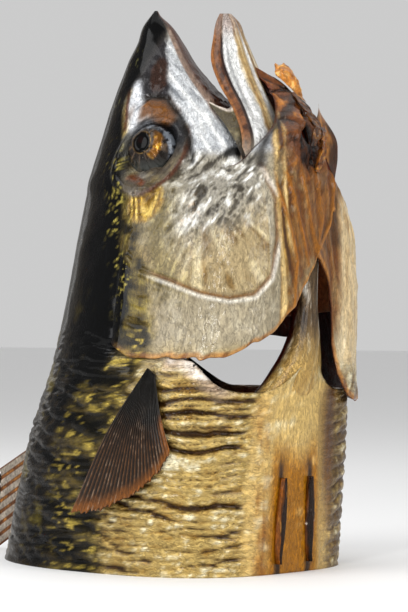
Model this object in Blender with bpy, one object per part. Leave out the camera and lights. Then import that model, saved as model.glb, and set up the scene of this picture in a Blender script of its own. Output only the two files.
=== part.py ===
"""The front half of a smoked mackerel, standing on the flat face where it was cut across.

Frame: +Z runs up the fish from the cut to the snout, +X points to the belly, and -Y is the
fish's right side. The origin is on the cut face. Formulas work in millimetres, and every mesh
is scaled to metres when it is made.
"""

import math

import bmesh
import bpy
import numpy as np

MM = 0.001

# ---------------------------------------------------------------- driving dimensions, mm
SNOUT_Z = 143.7  # top of the upper jaw above the cut
JAW_TIP_Z = 142.4  # top of the lower jaw
COLLAR_Z = 45.0  # lowest point of the shoulder rim behind the gill openings
COLLAR_RISE = 12.0  # how much higher that rim is at its back end
THROAT_TOP_Z = 129.0  # where the throat skin meets the keel of the lower jaw
CHEEK_Z = 104.0  # where the gill covers grow out of the cheeks
TRUNK_TWIST = -13.0  # degrees that the cut end has turned, belly towards the right side
HEAD_TWIST = 14.0  # degrees that the snout has turned the other way
WALL = 1.8  # free edges of the gill covers
ROOT = 1.2  # how far the gill covers reach into the head
JAW_WALL = 2.2
GAP = 0.3  # between solids that touch
EYE_RADIUS = 7.0
EYE_BULGE = 0.57  # half thickness of an eyeball over its radius
EYE_CENTRE = (-0.6, 17.1, 105.9)  # of the left eye; the right one is its mirror image

# Each station is height, back, widest line, belly, half thickness, and the superellipse powers
# of the back half and the belly half. The outline runs round the closed gill covers.
OUTLINE = (
    (0.0, -55.0, -6.0, 37.0, 35.0, 2.1, 3.0),
    (20.0, -48.0, -3.0, 38.0, 36.0, 2.1, 3.0),
    (36.0, -41.5, 0.0, 38.5, 36.5, 2.1, 3.0),
    (50.0, -35.0, 2.0, 38.5, 34.5, 2.1, 3.2),
    (62.0, -31.0, 3.0, 39.0, 33.0, 2.2, 3.4),
    (76.0, -28.0, 3.0, 39.5, 31.0, 2.2, 3.4),
    (88.0, -26.5, 3.0, 39.5, 27.5, 2.2, 3.4),
    (97.0, -25.0, 3.0, 39.5, 24.0, 2.2, 3.2),
    (104.0, -23.6, 4.0, 38.8, 20.5, 2.2, 2.8),
    (112.0, -21.5, 7.0, 37.0, 17.5, 2.2, 2.6),
    (118.0, -19.6, 10.0, 32.4, 14.0, 2.2, 2.4),
    (124.0, -17.5, 13.0, 26.4, 9.0, 2.2, 2.2),
    (130.0, -15.0, 15.0, 18.8, 5.0, 2.2, 2.0),
)
# The skull with the upper jaw, above the gill chamber.
SKULL = (
    (97.0, -25.0, -2.0, 32.0, 24.0, 2.2, 3.2),
    (104.0, -23.6, -2.0, 27.0, 20.5, 2.2, 3.4),
    (110.0, -21.9, -2.0, 21.4, 17.8, 2.2, 3.6),
    (118.0, -19.5, -3.0, 12.8, 14.2, 2.2, 3.6),
    (124.0, -17.4, -5.0, 6.8, 11.2, 2.2, 3.4),
    (130.0, -15.0, -6.5, 2.2, 8.0, 2.2, 3.0),
    (135.5, -12.4, -7.4, -0.9, 5.6, 2.2, 2.6),
    (140.0, -10.9, -7.8, -4.0, 3.4, 2.1, 2.2),
    (142.6, -9.0, -8.0, -6.8, 1.5, 2.0, 2.0),
    (143.7, -8.2, -7.8, -7.4, 0.6, 2.0, 2.0),
)
# The neck that joins skull and trunk between the two gill openings.
NECK = (-31.0, -14.0, -6.0, 17.0, 2.2, 2.2)
# Lower jaw: height, rim towards the mouth, keel towards the belly, half width.
JAW = (
    (100.0, 24.0, 34.0, 15.0),
    (108.0, 22.5, 31.0, 14.0),
    (116.0, 17.5, 26.0, 11.5),
    (124.0, 11.4, 21.5, 8.6),
    (130.0, 8.8, 18.8, 6.4),
    (136.0, 8.8, 16.2, 4.4),
    (140.5, 9.2, 14.2, 2.6),
    (142.4, 9.8, 12.4, 1.4),
)
# Strip of flesh from the throat to the shoulder: height, middle, half depth, half width.
ISTHMUS = (
    (40.0, 30.0, 6.0, 15.0),
    (47.0, 31.5, 4.5, 11.0),
    (52.0, 32.5, 3.2, 6.4),
    (60.0, 33.4, 2.4, 3.6),
    (72.0, 35.2, 2.0, 2.4),
    (84.0, 37.0, 2.0, 3.4),
    (92.0, 37.6, 1.6, 5.0),
)


def start_clean():
    for obj in list(bpy.data.objects):
        bpy.data.objects.remove(obj)


# ---------------------------------------------------------------- formulas
def along(table, height):
    """Every column of a station table at these heights, on a smooth curve through the stations."""
    table = np.asarray(table, float)
    at, values = table[:, 0], table[:, 1:]
    slopes = np.gradient(values, at, axis=0)
    height = np.clip(np.asarray(height, float), at[0], at[-1])
    low = np.clip(np.searchsorted(at, height, side="right") - 1, 0, len(at) - 2)
    span = at[low + 1] - at[low]
    t = ((height - at[low]) / span)[..., None]
    span = span[..., None]
    return (
        (2 * t**3 - 3 * t**2 + 1) * values[low]
        + (t**3 - 2 * t**2 + t) * span * slopes[low]
        + (3 * t**2 - 2 * t**3) * values[low + 1]
        + (t**3 - t**2) * span * slopes[low + 1]
    )


def ease(low, high, x):
    t = np.clip((x - low) / (high - low), 0.0, 1.0)
    return t * t * (3 - 2 * t)


def signed_power(x, power):
    return np.sign(x) * np.abs(x) ** power


def section(columns, turn):
    """X and Y of a superellipse with its own power on each half; turn 0 is the belly, pi the back."""
    back, widest, belly, half, back_power, belly_power = np.moveaxis(columns, -1, 0)
    c, s = np.cos(turn), np.sin(turn)
    reach = np.where(c > 0, belly - widest, widest - back)
    power = 2.0 / np.where(c > 0, belly_power, back_power)
    return widest + reach * signed_power(c, power), half * signed_power(s, power)


def twisted(x, y, z):
    """Turns a point about the fish's length: the cut end one way and the snout the other."""
    turn = np.radians(TRUNK_TWIST * (1 - ease(36.0, 62.0, z)) + HEAD_TWIST * ease(96.0, 126.0, z))
    return x * np.cos(turn) - y * np.sin(turn), x * np.sin(turn) + y * np.cos(turn)


def outline(turn, z):
    return section(along(OUTLINE, z), turn)


def collar(x, y):
    """Height of the shoulder rim. It stays low further back on the left side."""
    right = 0.7 * COLLAR_RISE * ease(33.0, 18.0, x) + 1.5 * COLLAR_RISE * ease(18.0, 12.0, x)
    left = COLLAR_RISE * ease(-10.0, -26.0, x)
    return COLLAR_Z + np.where(y < 0, right, left)


def core(turn, z):
    """Trunk, neck and skull: the outline with the gill openings and the mouth taken out of it."""
    full_x, full_y = outline(turn, z)
    neck_x, neck_y = section(np.broadcast_to(NECK, z.shape + (6,)), turn)
    skull_x, skull_y = section(along(SKULL, z), turn)
    rim = collar(full_x, full_y)
    side = np.abs(np.arctan2(np.sin(turn), np.cos(turn)))
    top = 61.0 + 24.0 * ease(0.9, 0.45, side)
    hollow = ease(2.50, 2.15, side) * ease(rim - 1.5, rim + 0.7, z) * ease(top + 6.0, top, z)
    x, y = full_x + (neck_x - full_x) * hollow, full_y + (neck_y - full_y) * hollow
    up = ease(93.0, 100.0, z)
    return x + (skull_x - x) * up, y + (skull_y - y) * up


def rear_edge(x, y):
    """Height of the gill cover's free edge. The left cover hangs lower than the right one."""
    across = np.clip(y + 31.0, 0.0, 60.0)
    right = 54.4 + 7.0 * ease(14.0, -6.0, x) + 0.24 * across + 0.0185 * across**2
    left = 43.0 + 16.0 * ease(18.0, 11.0, x) + 39.0 * ease(17.0, 3.0, y) * ease(28.0, 36.0, x)
    return np.where(y < 3.0, np.minimum(right, 84.0), np.minimum(left, 84.0))


# ---------------------------------------------------------------- mesh helpers
def make_object(name, points, faces, material=None):
    mesh = bpy.data.meshes.new(name)
    mesh.from_pydata((np.asarray(points, float) * MM).tolist(), [], faces)
    work = bmesh.new()
    work.from_mesh(mesh)
    bmesh.ops.remove_doubles(work, verts=work.verts, dist=0.00002)
    bmesh.ops.recalc_face_normals(work, faces=work.faces)
    work.to_mesh(mesh)
    work.free()
    mesh.shade_smooth()
    mesh.set_sharp_from_angle(angle=math.radians(50))
    obj = bpy.data.objects.new(name, mesh)
    bpy.context.scene.collection.objects.link(obj)
    if material:
        mesh.materials.append(material)
    return obj


def grid_faces(rows, columns, start=0, closed=False):
    """Quads of a grid whose points are numbered row by row."""
    last = columns if closed else columns - 1
    return [
        (
            start + i * columns + j,
            start + i * columns + (j + 1) % columns,
            start + (i + 1) * columns + (j + 1) % columns,
            start + (i + 1) * columns + j,
        )
        for i in range(rows - 1)
        for j in range(last)
    ]


def tube(name, grid, material=None):
    """A closed solid from rings of points, with a flat cap on each end."""
    rows, columns = grid.shape[:2]
    faces = grid_faces(rows, columns, closed=True)
    faces.append(tuple(range(columns)))
    faces.append(tuple((rows - 1) * columns + j for j in range(columns)))
    return make_object(name, grid.reshape(-1, 3), faces, material)


def sheet(name, outer, inner, material=None):
    """A closed solid between two grids of the same size, walled in along their four edges."""
    rows, columns = outer.shape[:2]
    count = rows * columns
    faces = grid_faces(rows, columns) + grid_faces(rows, columns, count)
    border = (
        [(0, j) for j in range(columns)]
        + [(i, columns - 1) for i in range(1, rows)]
        + [(rows - 1, j) for j in range(columns - 2, -1, -1)]
        + [(i, 0) for i in range(rows - 2, 0, -1)]
    )
    ring = [i * columns + j for i, j in border]
    for a, b in zip(ring, ring[1:] + ring[:1]):
        faces.append((a, b, count + b, count + a))
    points = np.concatenate([outer.reshape(-1, 3), inner.reshape(-1, 3)])
    return make_object(name, points, faces, material)


def guide(obj):
    obj.hide_render = True
    obj.display_type = "WIRE"
    return obj


def combine(obj, tool, operation):
    cut = obj.modifiers.new(operation.title() + "_" + tool.name, "BOOLEAN")
    cut.operation = operation
    cut.solver = "EXACT"
    cut.object = guide(tool)


def finish_material(name, colour, roughness, metallic=0.0):
    material = bpy.data.materials.new(name)
    material.use_nodes = True
    shader = material.node_tree.nodes["Principled BSDF"]
    shader.inputs["Base Color"].default_value = (*colour, 1.0)
    shader.inputs["Roughness"].default_value = roughness
    shader.inputs["Metallic"].default_value = metallic
    return material


# ---------------------------------------------------------------- the fish
def make_core(material):
    turns = np.linspace(0, 2 * math.pi, 44, endpoint=False)
    heights = np.concatenate(
        [
            np.linspace(0.0, 40.0, 5),
            np.linspace(44.0, 68.0, 13),
            np.linspace(73.0, 91.0, 5),
            np.linspace(94.0, 101.0, 4),
            np.linspace(105.0, 140.0, 9),
            [142.6, SNOUT_Z],
        ]
    )
    turn, z = np.meshgrid(turns, heights)
    x, y = twisted(*core(turn, z), z)
    return tube("fish", np.stack([x, y, z], axis=-1), material)


def make_gill_hood():
    """Both gill covers and the throat skin between them: one sheet, free along its rear edge."""
    across = np.linspace(-2.5, 2.5, 49)
    up = np.linspace(0.0, 1.0, 12)
    turn, share = np.meshgrid(across, up)
    front = CHEEK_Z + (THROAT_TOP_Z - CHEEK_Z) * ease(1.1, 0.15, np.abs(turn))
    z = np.full_like(turn, 60.0)
    for _ in range(6):  # the edge is given by place, so its height settles in a few rounds
        edge = rear_edge(*outline(turn, z))
        z = edge + (front - edge) * share
    x, y = outline(turn, z)
    middle = along(OUTLINE, z)[..., 1]
    length = np.hypot(x - middle, y)
    left = ease(5.0, 14.0, y) * ease(2.4, 1.6, np.abs(turn))
    lift = 0.7 + left * (1.8 + 3.0 * ease(98.0, 113.0, z))
    sunk = np.clip(ease(2.2, 2.5, np.abs(turn)) + ease(0.82, 1.0, share), 0.0, 1.0)
    lift = lift + (-ROOT - 0.6 - lift) * sunk
    free = ease(70.0, 64.0, z) + ease(92.0, 84.0, z) * ease(0.9, 0.5, np.abs(turn))
    root = np.maximum(-ROOT - 6.0 * ease(99.0, 114.0, z) - 0.8 * sunk, -0.5 * length)
    inner = root + (lift - WALL - root) * np.clip(free, 0.0, 1.0)

    def at(offset):
        grown = 1 + offset / length
        px, py = middle + (x - middle) * grown, y * grown
        return np.stack([*twisted(px, py, z), z], axis=-1)

    return sheet("gill_hood", at(lift), at(np.minimum(inner, lift - 1.0)))


def make_lower_jaw():
    """A trough: half ellipses from keel to rims, walled to a fixed thickness and solid at the tip."""
    heights = np.linspace(JAW[0][0], JAW_TIP_Z, 13)
    arc = np.linspace(-0.5 * math.pi, 0.5 * math.pi, 13)
    rim, keel, half = np.moveaxis(along(JAW, heights), -1, 0)

    def trough(wall):
        depth, width = keel - rim - wall, half - wall
        x = rim[:, None] + depth[:, None] * np.cos(arc)
        y = width[:, None] * np.sin(arc)
        z = np.broadcast_to(heights[:, None], x.shape)
        return np.stack([*twisted(x, y, z), z], axis=-1)

    wall = np.minimum(JAW_WALL, 0.6 * np.minimum(half, keel - rim))
    return sheet("lower_jaw", trough(0.0 * wall), trough(wall))


def make_isthmus():
    heights = np.linspace(ISTHMUS[0][0], ISTHMUS[-1][0], 12)
    turns = np.linspace(0, 2 * math.pi, 12, endpoint=False)
    middle, depth, half = np.moveaxis(along(ISTHMUS, heights), -1, 0)
    x = middle[:, None] + depth[:, None] * np.cos(turns)
    y = half[:, None] * np.sin(turns)
    z = np.broadcast_to(heights[:, None], x.shape)
    return tube("isthmus", np.stack([*twisted(x, y, z), z], axis=-1))


def eye_shape(name, radius, side, material=None):
    """An eyeball flattened across the fish."""
    bm = bmesh.new()
    bmesh.ops.create_uvsphere(bm, u_segments=18, v_segments=10, radius=radius * MM)
    bmesh.ops.scale(bm, vec=(1.0, EYE_BULGE, 1.0), verts=bm.verts)
    mesh = bpy.data.meshes.new(name)
    bm.to_mesh(mesh)
    bm.free()
    mesh.shade_smooth()
    obj = bpy.data.objects.new(name, mesh)
    bpy.context.scene.collection.objects.link(obj)
    x, y, z = EYE_CENTRE
    x, y = twisted(x, side * y, z)
    obj.location = (x * MM, y * MM, z * MM)
    if material:
        mesh.materials.append(material)
    return obj


def make_fish(material):
    fish = make_core(material)
    combine(fish, make_gill_hood(), "UNION")
    combine(fish, make_lower_jaw(), "UNION")
    combine(fish, make_isthmus(), "UNION")
    for side, name in ((-1, "right"), (1, "left")):
        combine(fish, eye_shape(f"socket_{name}", EYE_RADIUS + GAP, side), "DIFFERENCE")
    return fish


# ---------------------------------------------------------------- fins
def flank(x, z, side):
    """Y of the trunk's surface where its X and Z are these, found in a few rounds."""
    back, widest, belly, half, back_power, belly_power = np.moveaxis(along(OUTLINE, z), -1, 0)
    turn = np.radians(TRUNK_TWIST) * (1 - ease(36.0, 62.0, z))
    y = side * half
    for _ in range(6):
        plain_x = x * np.cos(turn) + y * np.sin(turn)
        reach = np.where(plain_x > widest, belly - widest, widest - back)
        power = np.where(plain_x > widest, belly_power, back_power)
        share = np.clip(np.abs((plain_x - widest) / reach), 0.0, 0.98)
        plain_y = side * half * (1 - share**power) ** (1 / power)
        y = (plain_y + x * np.sin(turn)) / np.cos(turn)
    return y


def make_pectoral(name, side, material):
    """A fan of rays from a narrow root, lying back along the flank and standing off at its tip."""
    fan, reach = np.meshgrid(np.linspace(0.0, 1.0, 9), np.linspace(0.0, 1.0, 8))
    angle = np.radians(239.0 + 48.0 * fan)
    length = 42.6 - 23.0 * fan
    root_z = 51.5 if side < 0 else COLLAR_Z - 1.5
    x = 10.5 + 2.4 * fan + length * reach * np.cos(angle)
    z = root_z - 1.5 * fan + length * reach * np.sin(angle)
    y = flank(x, z, side)
    stand = 1.1 + 2.2 * reach * (1 - 0.6 * fan)
    half = 0.55 - 0.2 * reach
    outer = np.stack([x, y + side * (stand + half), z], axis=-1)
    inner = np.stack([x, y + side * (stand - half), z], axis=-1)
    return sheet(name, outer, inner, material)


def make_dorsal(material):
    """Seven spines leaning to the tail with skin between them, trimmed where the fish was cut."""
    root, reach = np.meshgrid(np.linspace(0.0, 1.0, 13), np.linspace(0.0, 1.0, 7))
    root_z = 38.0 - 25.0 * root
    back = along(OUTLINE, root_z)[..., 0]
    lean = np.radians(212.0 + 6.0 * root)
    length = np.minimum(30.0 - 9.0 * root, (root_z - 0.4) / -np.sin(lean))
    x = back - 0.5 + length * reach * np.cos(lean)
    z = root_z + length * reach * np.sin(lean)
    half = 0.75 - 0.35 * reach
    curve = -6.0 * reach
    outer = np.stack([*twisted(x, curve - half, z), z], axis=-1)
    inner = np.stack([*twisted(x, curve + half, z), z], axis=-1)
    return sheet("dorsal_fin", outer, inner, material)


def make_pelvic(name, side, material):
    """A folded blade on the belly, pointing at the tail."""
    across, reach = np.meshgrid(np.linspace(-1.0, 1.0, 7), np.linspace(0.0, 1.0, 8))
    z = 24.0 - 21.5 * reach
    half = 2.3 * np.sin(math.pi * np.clip(0.16 + 0.76 * reach, 0, 1)) ** 0.7
    y = side * (5.0 + 0.8 * reach) + half * across
    belly = along(OUTLINE, z)
    share = np.clip(np.abs(y) / belly[..., 3], 0.0, 0.999)
    power = belly[..., 5]
    x = belly[..., 1] + (belly[..., 2] - belly[..., 1]) * (1 - share**power) ** (1 / power)
    outer = np.stack([*twisted(x + 2.2 - 0.6 * across**2, y, z), z], axis=-1)
    inner = np.stack([*twisted(x + GAP + 0.3, y, z), z], axis=-1)
    return sheet(name, outer, inner, material)


def make_throat_scrap(material):
    """A torn lump of gill flesh left standing on the front of the throat."""
    around, up = np.meshgrid(np.linspace(0, 2 * math.pi, 14, endpoint=False), np.linspace(0, 1, 9))
    swell = np.sin(math.pi * (0.08 + 0.84 * up)) ** 0.6 * (1 + 0.16 * np.sin(3 * around + 5 * up))
    z = 121.0 + 8.2 * up + 0.5 * np.cos(2 * around)
    x = 30.4 - 5.2 * up + 1.7 * swell * np.cos(around)
    x = np.maximum(x, along(OUTLINE, z)[..., 2] + 1.3)
    y = 0.5 + 1.0 * up + 3.4 * swell * np.sin(around)
    return tube("throat_scrap", np.stack([*twisted(x, y, z), z], axis=-1), material)


def main():
    start_clean()
    skin = finish_material("smoked_skin", (0.55, 0.42, 0.20), 0.35, 0.4)
    eye = finish_material("dried_eye", (0.16, 0.11, 0.05), 0.15)
    fin = finish_material("dark_fin", (0.05, 0.035, 0.025), 0.4)
    pale_fin = finish_material("amber_fin", (0.55, 0.22, 0.05), 0.35)
    flesh = finish_material("torn_flesh", (0.80, 0.38, 0.08), 0.4)
    make_fish(skin)
    for side, name in ((-1, "right"), (1, "left")):
        eye_shape(f"eye_{name}", EYE_RADIUS, side, eye)
        make_pectoral(f"pectoral_fin_{name}", side, fin)
        make_pelvic(f"pelvic_fin_{name}", side, fin)
    make_dorsal(pale_fin)
    make_throat_scrap(flesh)


main()
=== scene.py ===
# %% [markdown]
# # The front half of a smoked mackerel
#
# The fish stands snout up on the flat cut across its trunk. Its frame has +Z up the fish, +X to
# the belly and -Y to its right side. The construction model is loaded first, and every piece
# below is fitted round it, so that the looks and the solids stay one object.

import math

import bmesh
import bpy
import numpy as np
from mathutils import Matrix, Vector


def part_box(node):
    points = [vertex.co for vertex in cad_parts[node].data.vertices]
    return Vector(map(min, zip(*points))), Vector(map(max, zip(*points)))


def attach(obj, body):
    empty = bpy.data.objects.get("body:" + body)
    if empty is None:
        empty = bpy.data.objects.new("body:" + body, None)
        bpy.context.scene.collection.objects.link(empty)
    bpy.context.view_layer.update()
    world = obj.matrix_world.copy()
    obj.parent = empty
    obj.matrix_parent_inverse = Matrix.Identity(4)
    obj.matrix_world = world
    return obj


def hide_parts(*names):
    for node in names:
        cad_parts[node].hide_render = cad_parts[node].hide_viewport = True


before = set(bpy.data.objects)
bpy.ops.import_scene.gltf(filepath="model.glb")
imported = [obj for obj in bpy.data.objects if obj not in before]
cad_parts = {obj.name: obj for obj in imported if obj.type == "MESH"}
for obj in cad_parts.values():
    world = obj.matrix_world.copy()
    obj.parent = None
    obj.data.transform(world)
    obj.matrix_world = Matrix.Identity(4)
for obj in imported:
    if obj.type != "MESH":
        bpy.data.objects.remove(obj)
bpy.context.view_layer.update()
fish_low, fish_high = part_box("fish")
SNOUT_Z = 143.7  # height of the snout in the fish's own millimetres
MM = (fish_high[2] - fish_low[2]) / SNOUT_Z

# %% [markdown]
# ## Shape tools
#
# A fish is a row of rounded cross-sections. Each station gives the back, the widest line, the
# belly, the half thickness and how square each half of the section is, and a smooth curve runs
# through the stations. A whole surface is then one function of a turn about the body and a
# height along it, worked out for all points at once.

# %% Smooth stations and sections
# height, back, widest line, belly, half thickness, power of the back half, power of the belly half
OUTLINE = (
    (0.0, -55.0, -6.0, 37.0, 35.0, 2.1, 3.0),
    (20.0, -48.0, -3.0, 38.0, 36.0, 2.1, 3.0),
    (36.0, -41.5, 0.0, 38.5, 36.5, 2.1, 3.0),
    (50.0, -35.0, 2.0, 38.5, 34.5, 2.1, 3.2),
    (62.0, -31.0, 3.0, 39.0, 33.0, 2.2, 3.4),
    (76.0, -28.0, 3.0, 39.5, 31.0, 2.2, 3.4),
    (88.0, -26.5, 3.0, 39.5, 27.5, 2.2, 3.4),
    (97.0, -25.0, 3.0, 39.5, 24.0, 2.2, 3.2),
    (104.0, -23.6, 4.0, 38.8, 20.5, 2.2, 2.8),
    (112.0, -21.5, 7.0, 37.0, 17.5, 2.2, 2.6),
    (118.0, -19.6, 10.0, 32.4, 14.0, 2.2, 2.4),
    (124.0, -17.5, 13.0, 26.4, 9.0, 2.2, 2.2),
    (130.0, -15.0, 15.0, 18.8, 5.0, 2.2, 2.0),
)
SKULL = (
    (97.0, -25.0, -2.0, 32.0, 24.0, 2.2, 3.2),
    (104.0, -23.6, -2.0, 27.0, 20.5, 2.2, 3.4),
    (110.0, -21.9, -2.0, 21.4, 17.8, 2.2, 3.6),
    (118.0, -19.5, -3.0, 12.8, 14.2, 2.2, 3.6),
    (124.0, -17.4, -5.0, 6.8, 11.2, 2.2, 3.4),
    (130.0, -15.0, -6.5, 2.2, 8.0, 2.2, 3.0),
    (135.5, -12.4, -7.4, -0.9, 5.6, 2.2, 2.6),
    (140.0, -10.9, -7.8, -4.0, 3.4, 2.1, 2.2),
    (142.6, -9.0, -8.0, -6.8, 1.5, 2.0, 2.0),
    (143.7, -8.2, -7.8, -7.4, 0.6, 2.0, 2.0),
)
NECK = (-31.0, -14.0, -6.0, 17.0, 2.2, 2.2)
TRUNK_TWIST, HEAD_TWIST = -13.0, 14.0
COLLAR_Z, COLLAR_RISE = 45.0, 12.0
CHEEK_Z, THROAT_TOP_Z = 104.0, 129.0
EYE_CENTRE = (-0.6, 17.1, 105.9)
EYE_RADIUS, EYE_BULGE = 7.0, 0.57
VIEW = math.radians(30.0)  # the camera stands this far round from the right side to the belly


def ease(low, high, x):
    """0 below low, 1 above high and an S-curve between; low may be the larger of the two."""
    t = np.clip((x - low) / (high - low), 0.0, 1.0)
    return t * t * (3 - 2 * t)


def along(table, height):
    """Every column of a station table at these heights: a cubic with the stations' own slopes."""
    table = np.asarray(table, float)
    at, values = table[:, 0], table[:, 1:]
    slopes = np.gradient(values, at, axis=0)
    height = np.clip(np.asarray(height, float), at[0], at[-1])
    low = np.clip(np.searchsorted(at, height, side="right") - 1, 0, len(at) - 2)
    span = at[low + 1] - at[low]
    t = ((height - at[low]) / span)[..., None]
    span = span[..., None]
    return (
        (2 * t**3 - 3 * t**2 + 1) * values[low]
        + (t**3 - 2 * t**2 + t) * span * slopes[low]
        + (3 * t**2 - 2 * t**3) * values[low + 1]
        + (t**3 - t**2) * span * slopes[low + 1]
    )


def section(columns, turn):
    """A superellipse with its own power on each half; turn 0 is the belly and pi the back."""
    back, widest, belly, half, back_power, belly_power = np.moveaxis(columns, -1, 0)
    c, s = np.cos(turn), np.sin(turn)
    reach = np.where(c > 0, belly - widest, widest - back)
    power = 2.0 / np.where(c > 0, belly_power, back_power)
    return (
        widest + reach * np.sign(c) * np.abs(c) ** power,
        half * np.sign(s) * np.abs(s) ** power,
    )


def outline(turn, z):
    return section(along(OUTLINE, z), turn)


def twisted(x, y, z):
    """Turns points about the fish's length: the cut end one way and the snout the other."""
    turn = np.radians(TRUNK_TWIST * ease(62.0, 36.0, z) + HEAD_TWIST * ease(96.0, 126.0, z))
    return x * np.cos(turn) - y * np.sin(turn), x * np.sin(turn) + y * np.cos(turn)


# %% [markdown]
# ## Crumple and grain
#
# Smoking dries the skin until it puckers into folds like thin foil. Value noise, which blends
# random numbers on a lattice, gives soft unevenness. Folding it about zero gives sharp valleys
# between rounded swells, which is how dried skin creases.


# %% Noise on whole arrays
def noise(x, y, z, seed=0):
    """Random values at the corners of unit cells, blended smoothly inside each cell, -1 to 1."""
    cells = [np.floor(v).astype(np.int64) for v in (x, y, z)]
    blend = [v - c for v, c in zip((x, y, z), cells)]
    blend = [t * t * (3 - 2 * t) for t in blend]
    total = 0.0
    for corner in range(8):
        bits = [(corner >> k) & 1 for k in range(3)]
        weight = 1.0
        for bit, t in zip(bits, blend):
            weight = weight * (t if bit else 1 - t)
        i, j, k = (c + b for c, b in zip(cells, bits))
        h = (i * 374761393 + j * 668265263 + k * 2147483647 + seed * 974711) & 0xFFFFFFFF
        h = ((h ^ (h >> 13)) * 1274126177) & 0xFFFFFFFF
        total = total + weight * (((h ^ (h >> 16)) & 0xFFFF) / 32767.5 - 1.0)
    return total


def cloud(x, y, z, seed=0, octaves=3):
    """Noise added to itself at double the detail and half the strength, -1 to 1 or so."""
    return sum(noise(x * 2**k, y * 2**k, z * 2**k, seed + k) * 0.5**k for k in range(octaves)) / 1.6


def creases(x, y, z, seed=0):
    """1 along narrow lines where warped noise passes zero, falling to 0 away from them."""
    bend = 0.35 * noise(0.5 * x, 0.5 * y, 0.5 * z, seed + 7)
    return (1 - np.clip(np.abs(noise(x + bend, y - bend, z + bend, seed)) * 2.6, 0, 1)) ** 1.6


def line_mask(points, u, v, width):
    """1 on a line through these points and 0 beyond width from it, by distance to each stretch."""
    nearest = np.full(np.shape(u), 1e9)
    for (u0, v0), (u1, v1) in zip(points, points[1:]):
        du, dv = u1 - u0, v1 - v0
        t = np.clip(((u - u0) * du + (v - v0) * dv) / (du * du + dv * dv), 0, 1)
        nearest = np.minimum(nearest, np.hypot(u - u0 - t * du, v - v0 - t * dv))
    return np.clip(1 - nearest / width, 0, 1) ** 2 * (3 - 2 * np.clip(1 - nearest / width, 0, 1))


# %% [markdown]
# ## Colour as paint
#
# The skin's colour follows the fish's anatomy, so it is worked out for each point of a surface
# and stored there as paint. A second layer, finish, stores how metallic, how rough and how
# deeply creased the skin is. The material's nodes then add the grain that is finer than the mesh.


# %% Hex colours and paint
def linear(code):
    """An sRGB hex colour as linear light: each channel to the power 2.4, straight near black."""
    value = np.array([int(code[i : i + 2], 16) for i in (1, 3, 5)]) / 255
    return np.where(value <= 0.04045, value / 12.92, ((value + 0.055) / 1.055) ** 2.4)


def base_coat(like, code):
    """Paint of one colour for every point of a grid."""
    return np.broadcast_to(linear(code), like.shape + (3,)).copy()


def coat(paint, code, mask):
    """Lays a colour over the paint, in place, where the mask is 1; it blends where it is less."""
    mask = np.clip(mask, 0, 1)[..., None]
    paint[...] = paint * (1 - mask) + linear(code) * mask


def even_finish(like, metal, rough):
    """A finish as metallic and as rough as this at every point, with streaks up the fish."""
    return np.zeros(like.shape + (3,)) + (metal, rough, 0.0)


# %% [markdown]
# ## Pieces as closed grids
#
# Every piece is a grid of points whose last column joins its first and whose two end rings are
# closed. Thin skins and fins are sheets: out along one face, and back along the other.

# %% Meshes from grids
WELD = 0.00002  # points closer than this many metres become one
DEEPEN = 1.22  # smoked skin is contrasty, so every tone is taken down, dark ones most


def placed(x, y, z):
    """Points in the fish's millimetres, twisted about its length."""
    return np.stack([*twisted(x, y, z), z], axis=-1)


def grid_piece(name, points, paint, finish, material, slot, *nodes):
    """A closed piece from a grid of points in millimetres, with paint and finish on them.

    It rides on the one body and stands for the named solids of the construction model.
    """
    rows, columns = points.shape[:2]
    number = np.arange(rows * columns).reshape(rows, columns)
    number = np.concatenate([number, number[:, :1]], axis=1)
    corners = [number[:-1, :-1], number[:-1, 1:], number[1:, 1:], number[1:, :-1]]
    faces = np.stack([c.ravel() for c in corners], axis=-1).tolist()
    faces += [list(range(columns)), [(rows - 1) * columns + j for j in range(columns)]]
    mesh = bpy.data.meshes.new(name)
    mesh.from_pydata((points.reshape(-1, 3) * MM).tolist(), [], faces)
    for layer, values in (("paint", paint**DEEPEN), ("finish", finish)):
        rgba = np.ones((rows * columns, 4), np.float32)
        rgba[:, :3] = values.reshape(-1, 3)
        mesh.attributes.new(layer, "FLOAT_COLOR", "POINT").data.foreach_set("color", rgba.ravel())
    work = bmesh.new()
    work.from_mesh(mesh)
    bmesh.ops.remove_doubles(work, verts=work.verts, dist=WELD)
    bmesh.ops.recalc_face_normals(work, faces=work.faces)
    work.to_mesh(mesh)
    work.free()
    mesh.shade_smooth()
    mesh.materials.append(material)
    piece = bpy.data.objects.new(name, mesh)
    bpy.context.scene.collection.objects.link(piece)
    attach(piece, "root")
    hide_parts(*nodes)
    print(name, len(mesh.polygons), "faces")


def sheet_piece(name, outer, inner, paint, finish, *rest, inside=1.0):
    """A piece from its outer and inner face. rest is its material, slot and solids; the slot is not
    used.

    inside is the strength of the inner face's paint; below 1 it darkens that face as painted shade.
    """
    points = np.concatenate([outer, inner[:, ::-1]], axis=1)
    paint = np.concatenate([paint, paint[:, ::-1] * inside], axis=1)
    finish = np.concatenate([finish, finish[:, ::-1]], axis=1)
    grid_piece(name, points, paint, finish, *rest)


# %% [markdown]
# ## One material recipe for skin, flesh and fin
#
# Smoked skin is a thin oily film over silver pigment. It is half metal and half varnish: the
# pigment gives a broken metallic shine, and the oil on top a clear sharp gloss. Each material
# reads the paint and finish of its piece and adds grain, fine wrinkles and dark crease lines.


# %% Nodes
def add(tree, kind, inputs=None, **properties):
    """Adds a node and returns its outputs. Each input takes a value or another node's output."""
    node = tree.nodes.new(kind)
    for key, value in properties.items():
        setattr(node, key, value)
    for key, value in (inputs or {}).items():
        if isinstance(value, bpy.types.NodeSocket):
            tree.links.new(value, node.inputs[key])
        else:
            node.inputs[key].default_value = value
    return node.outputs


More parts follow.
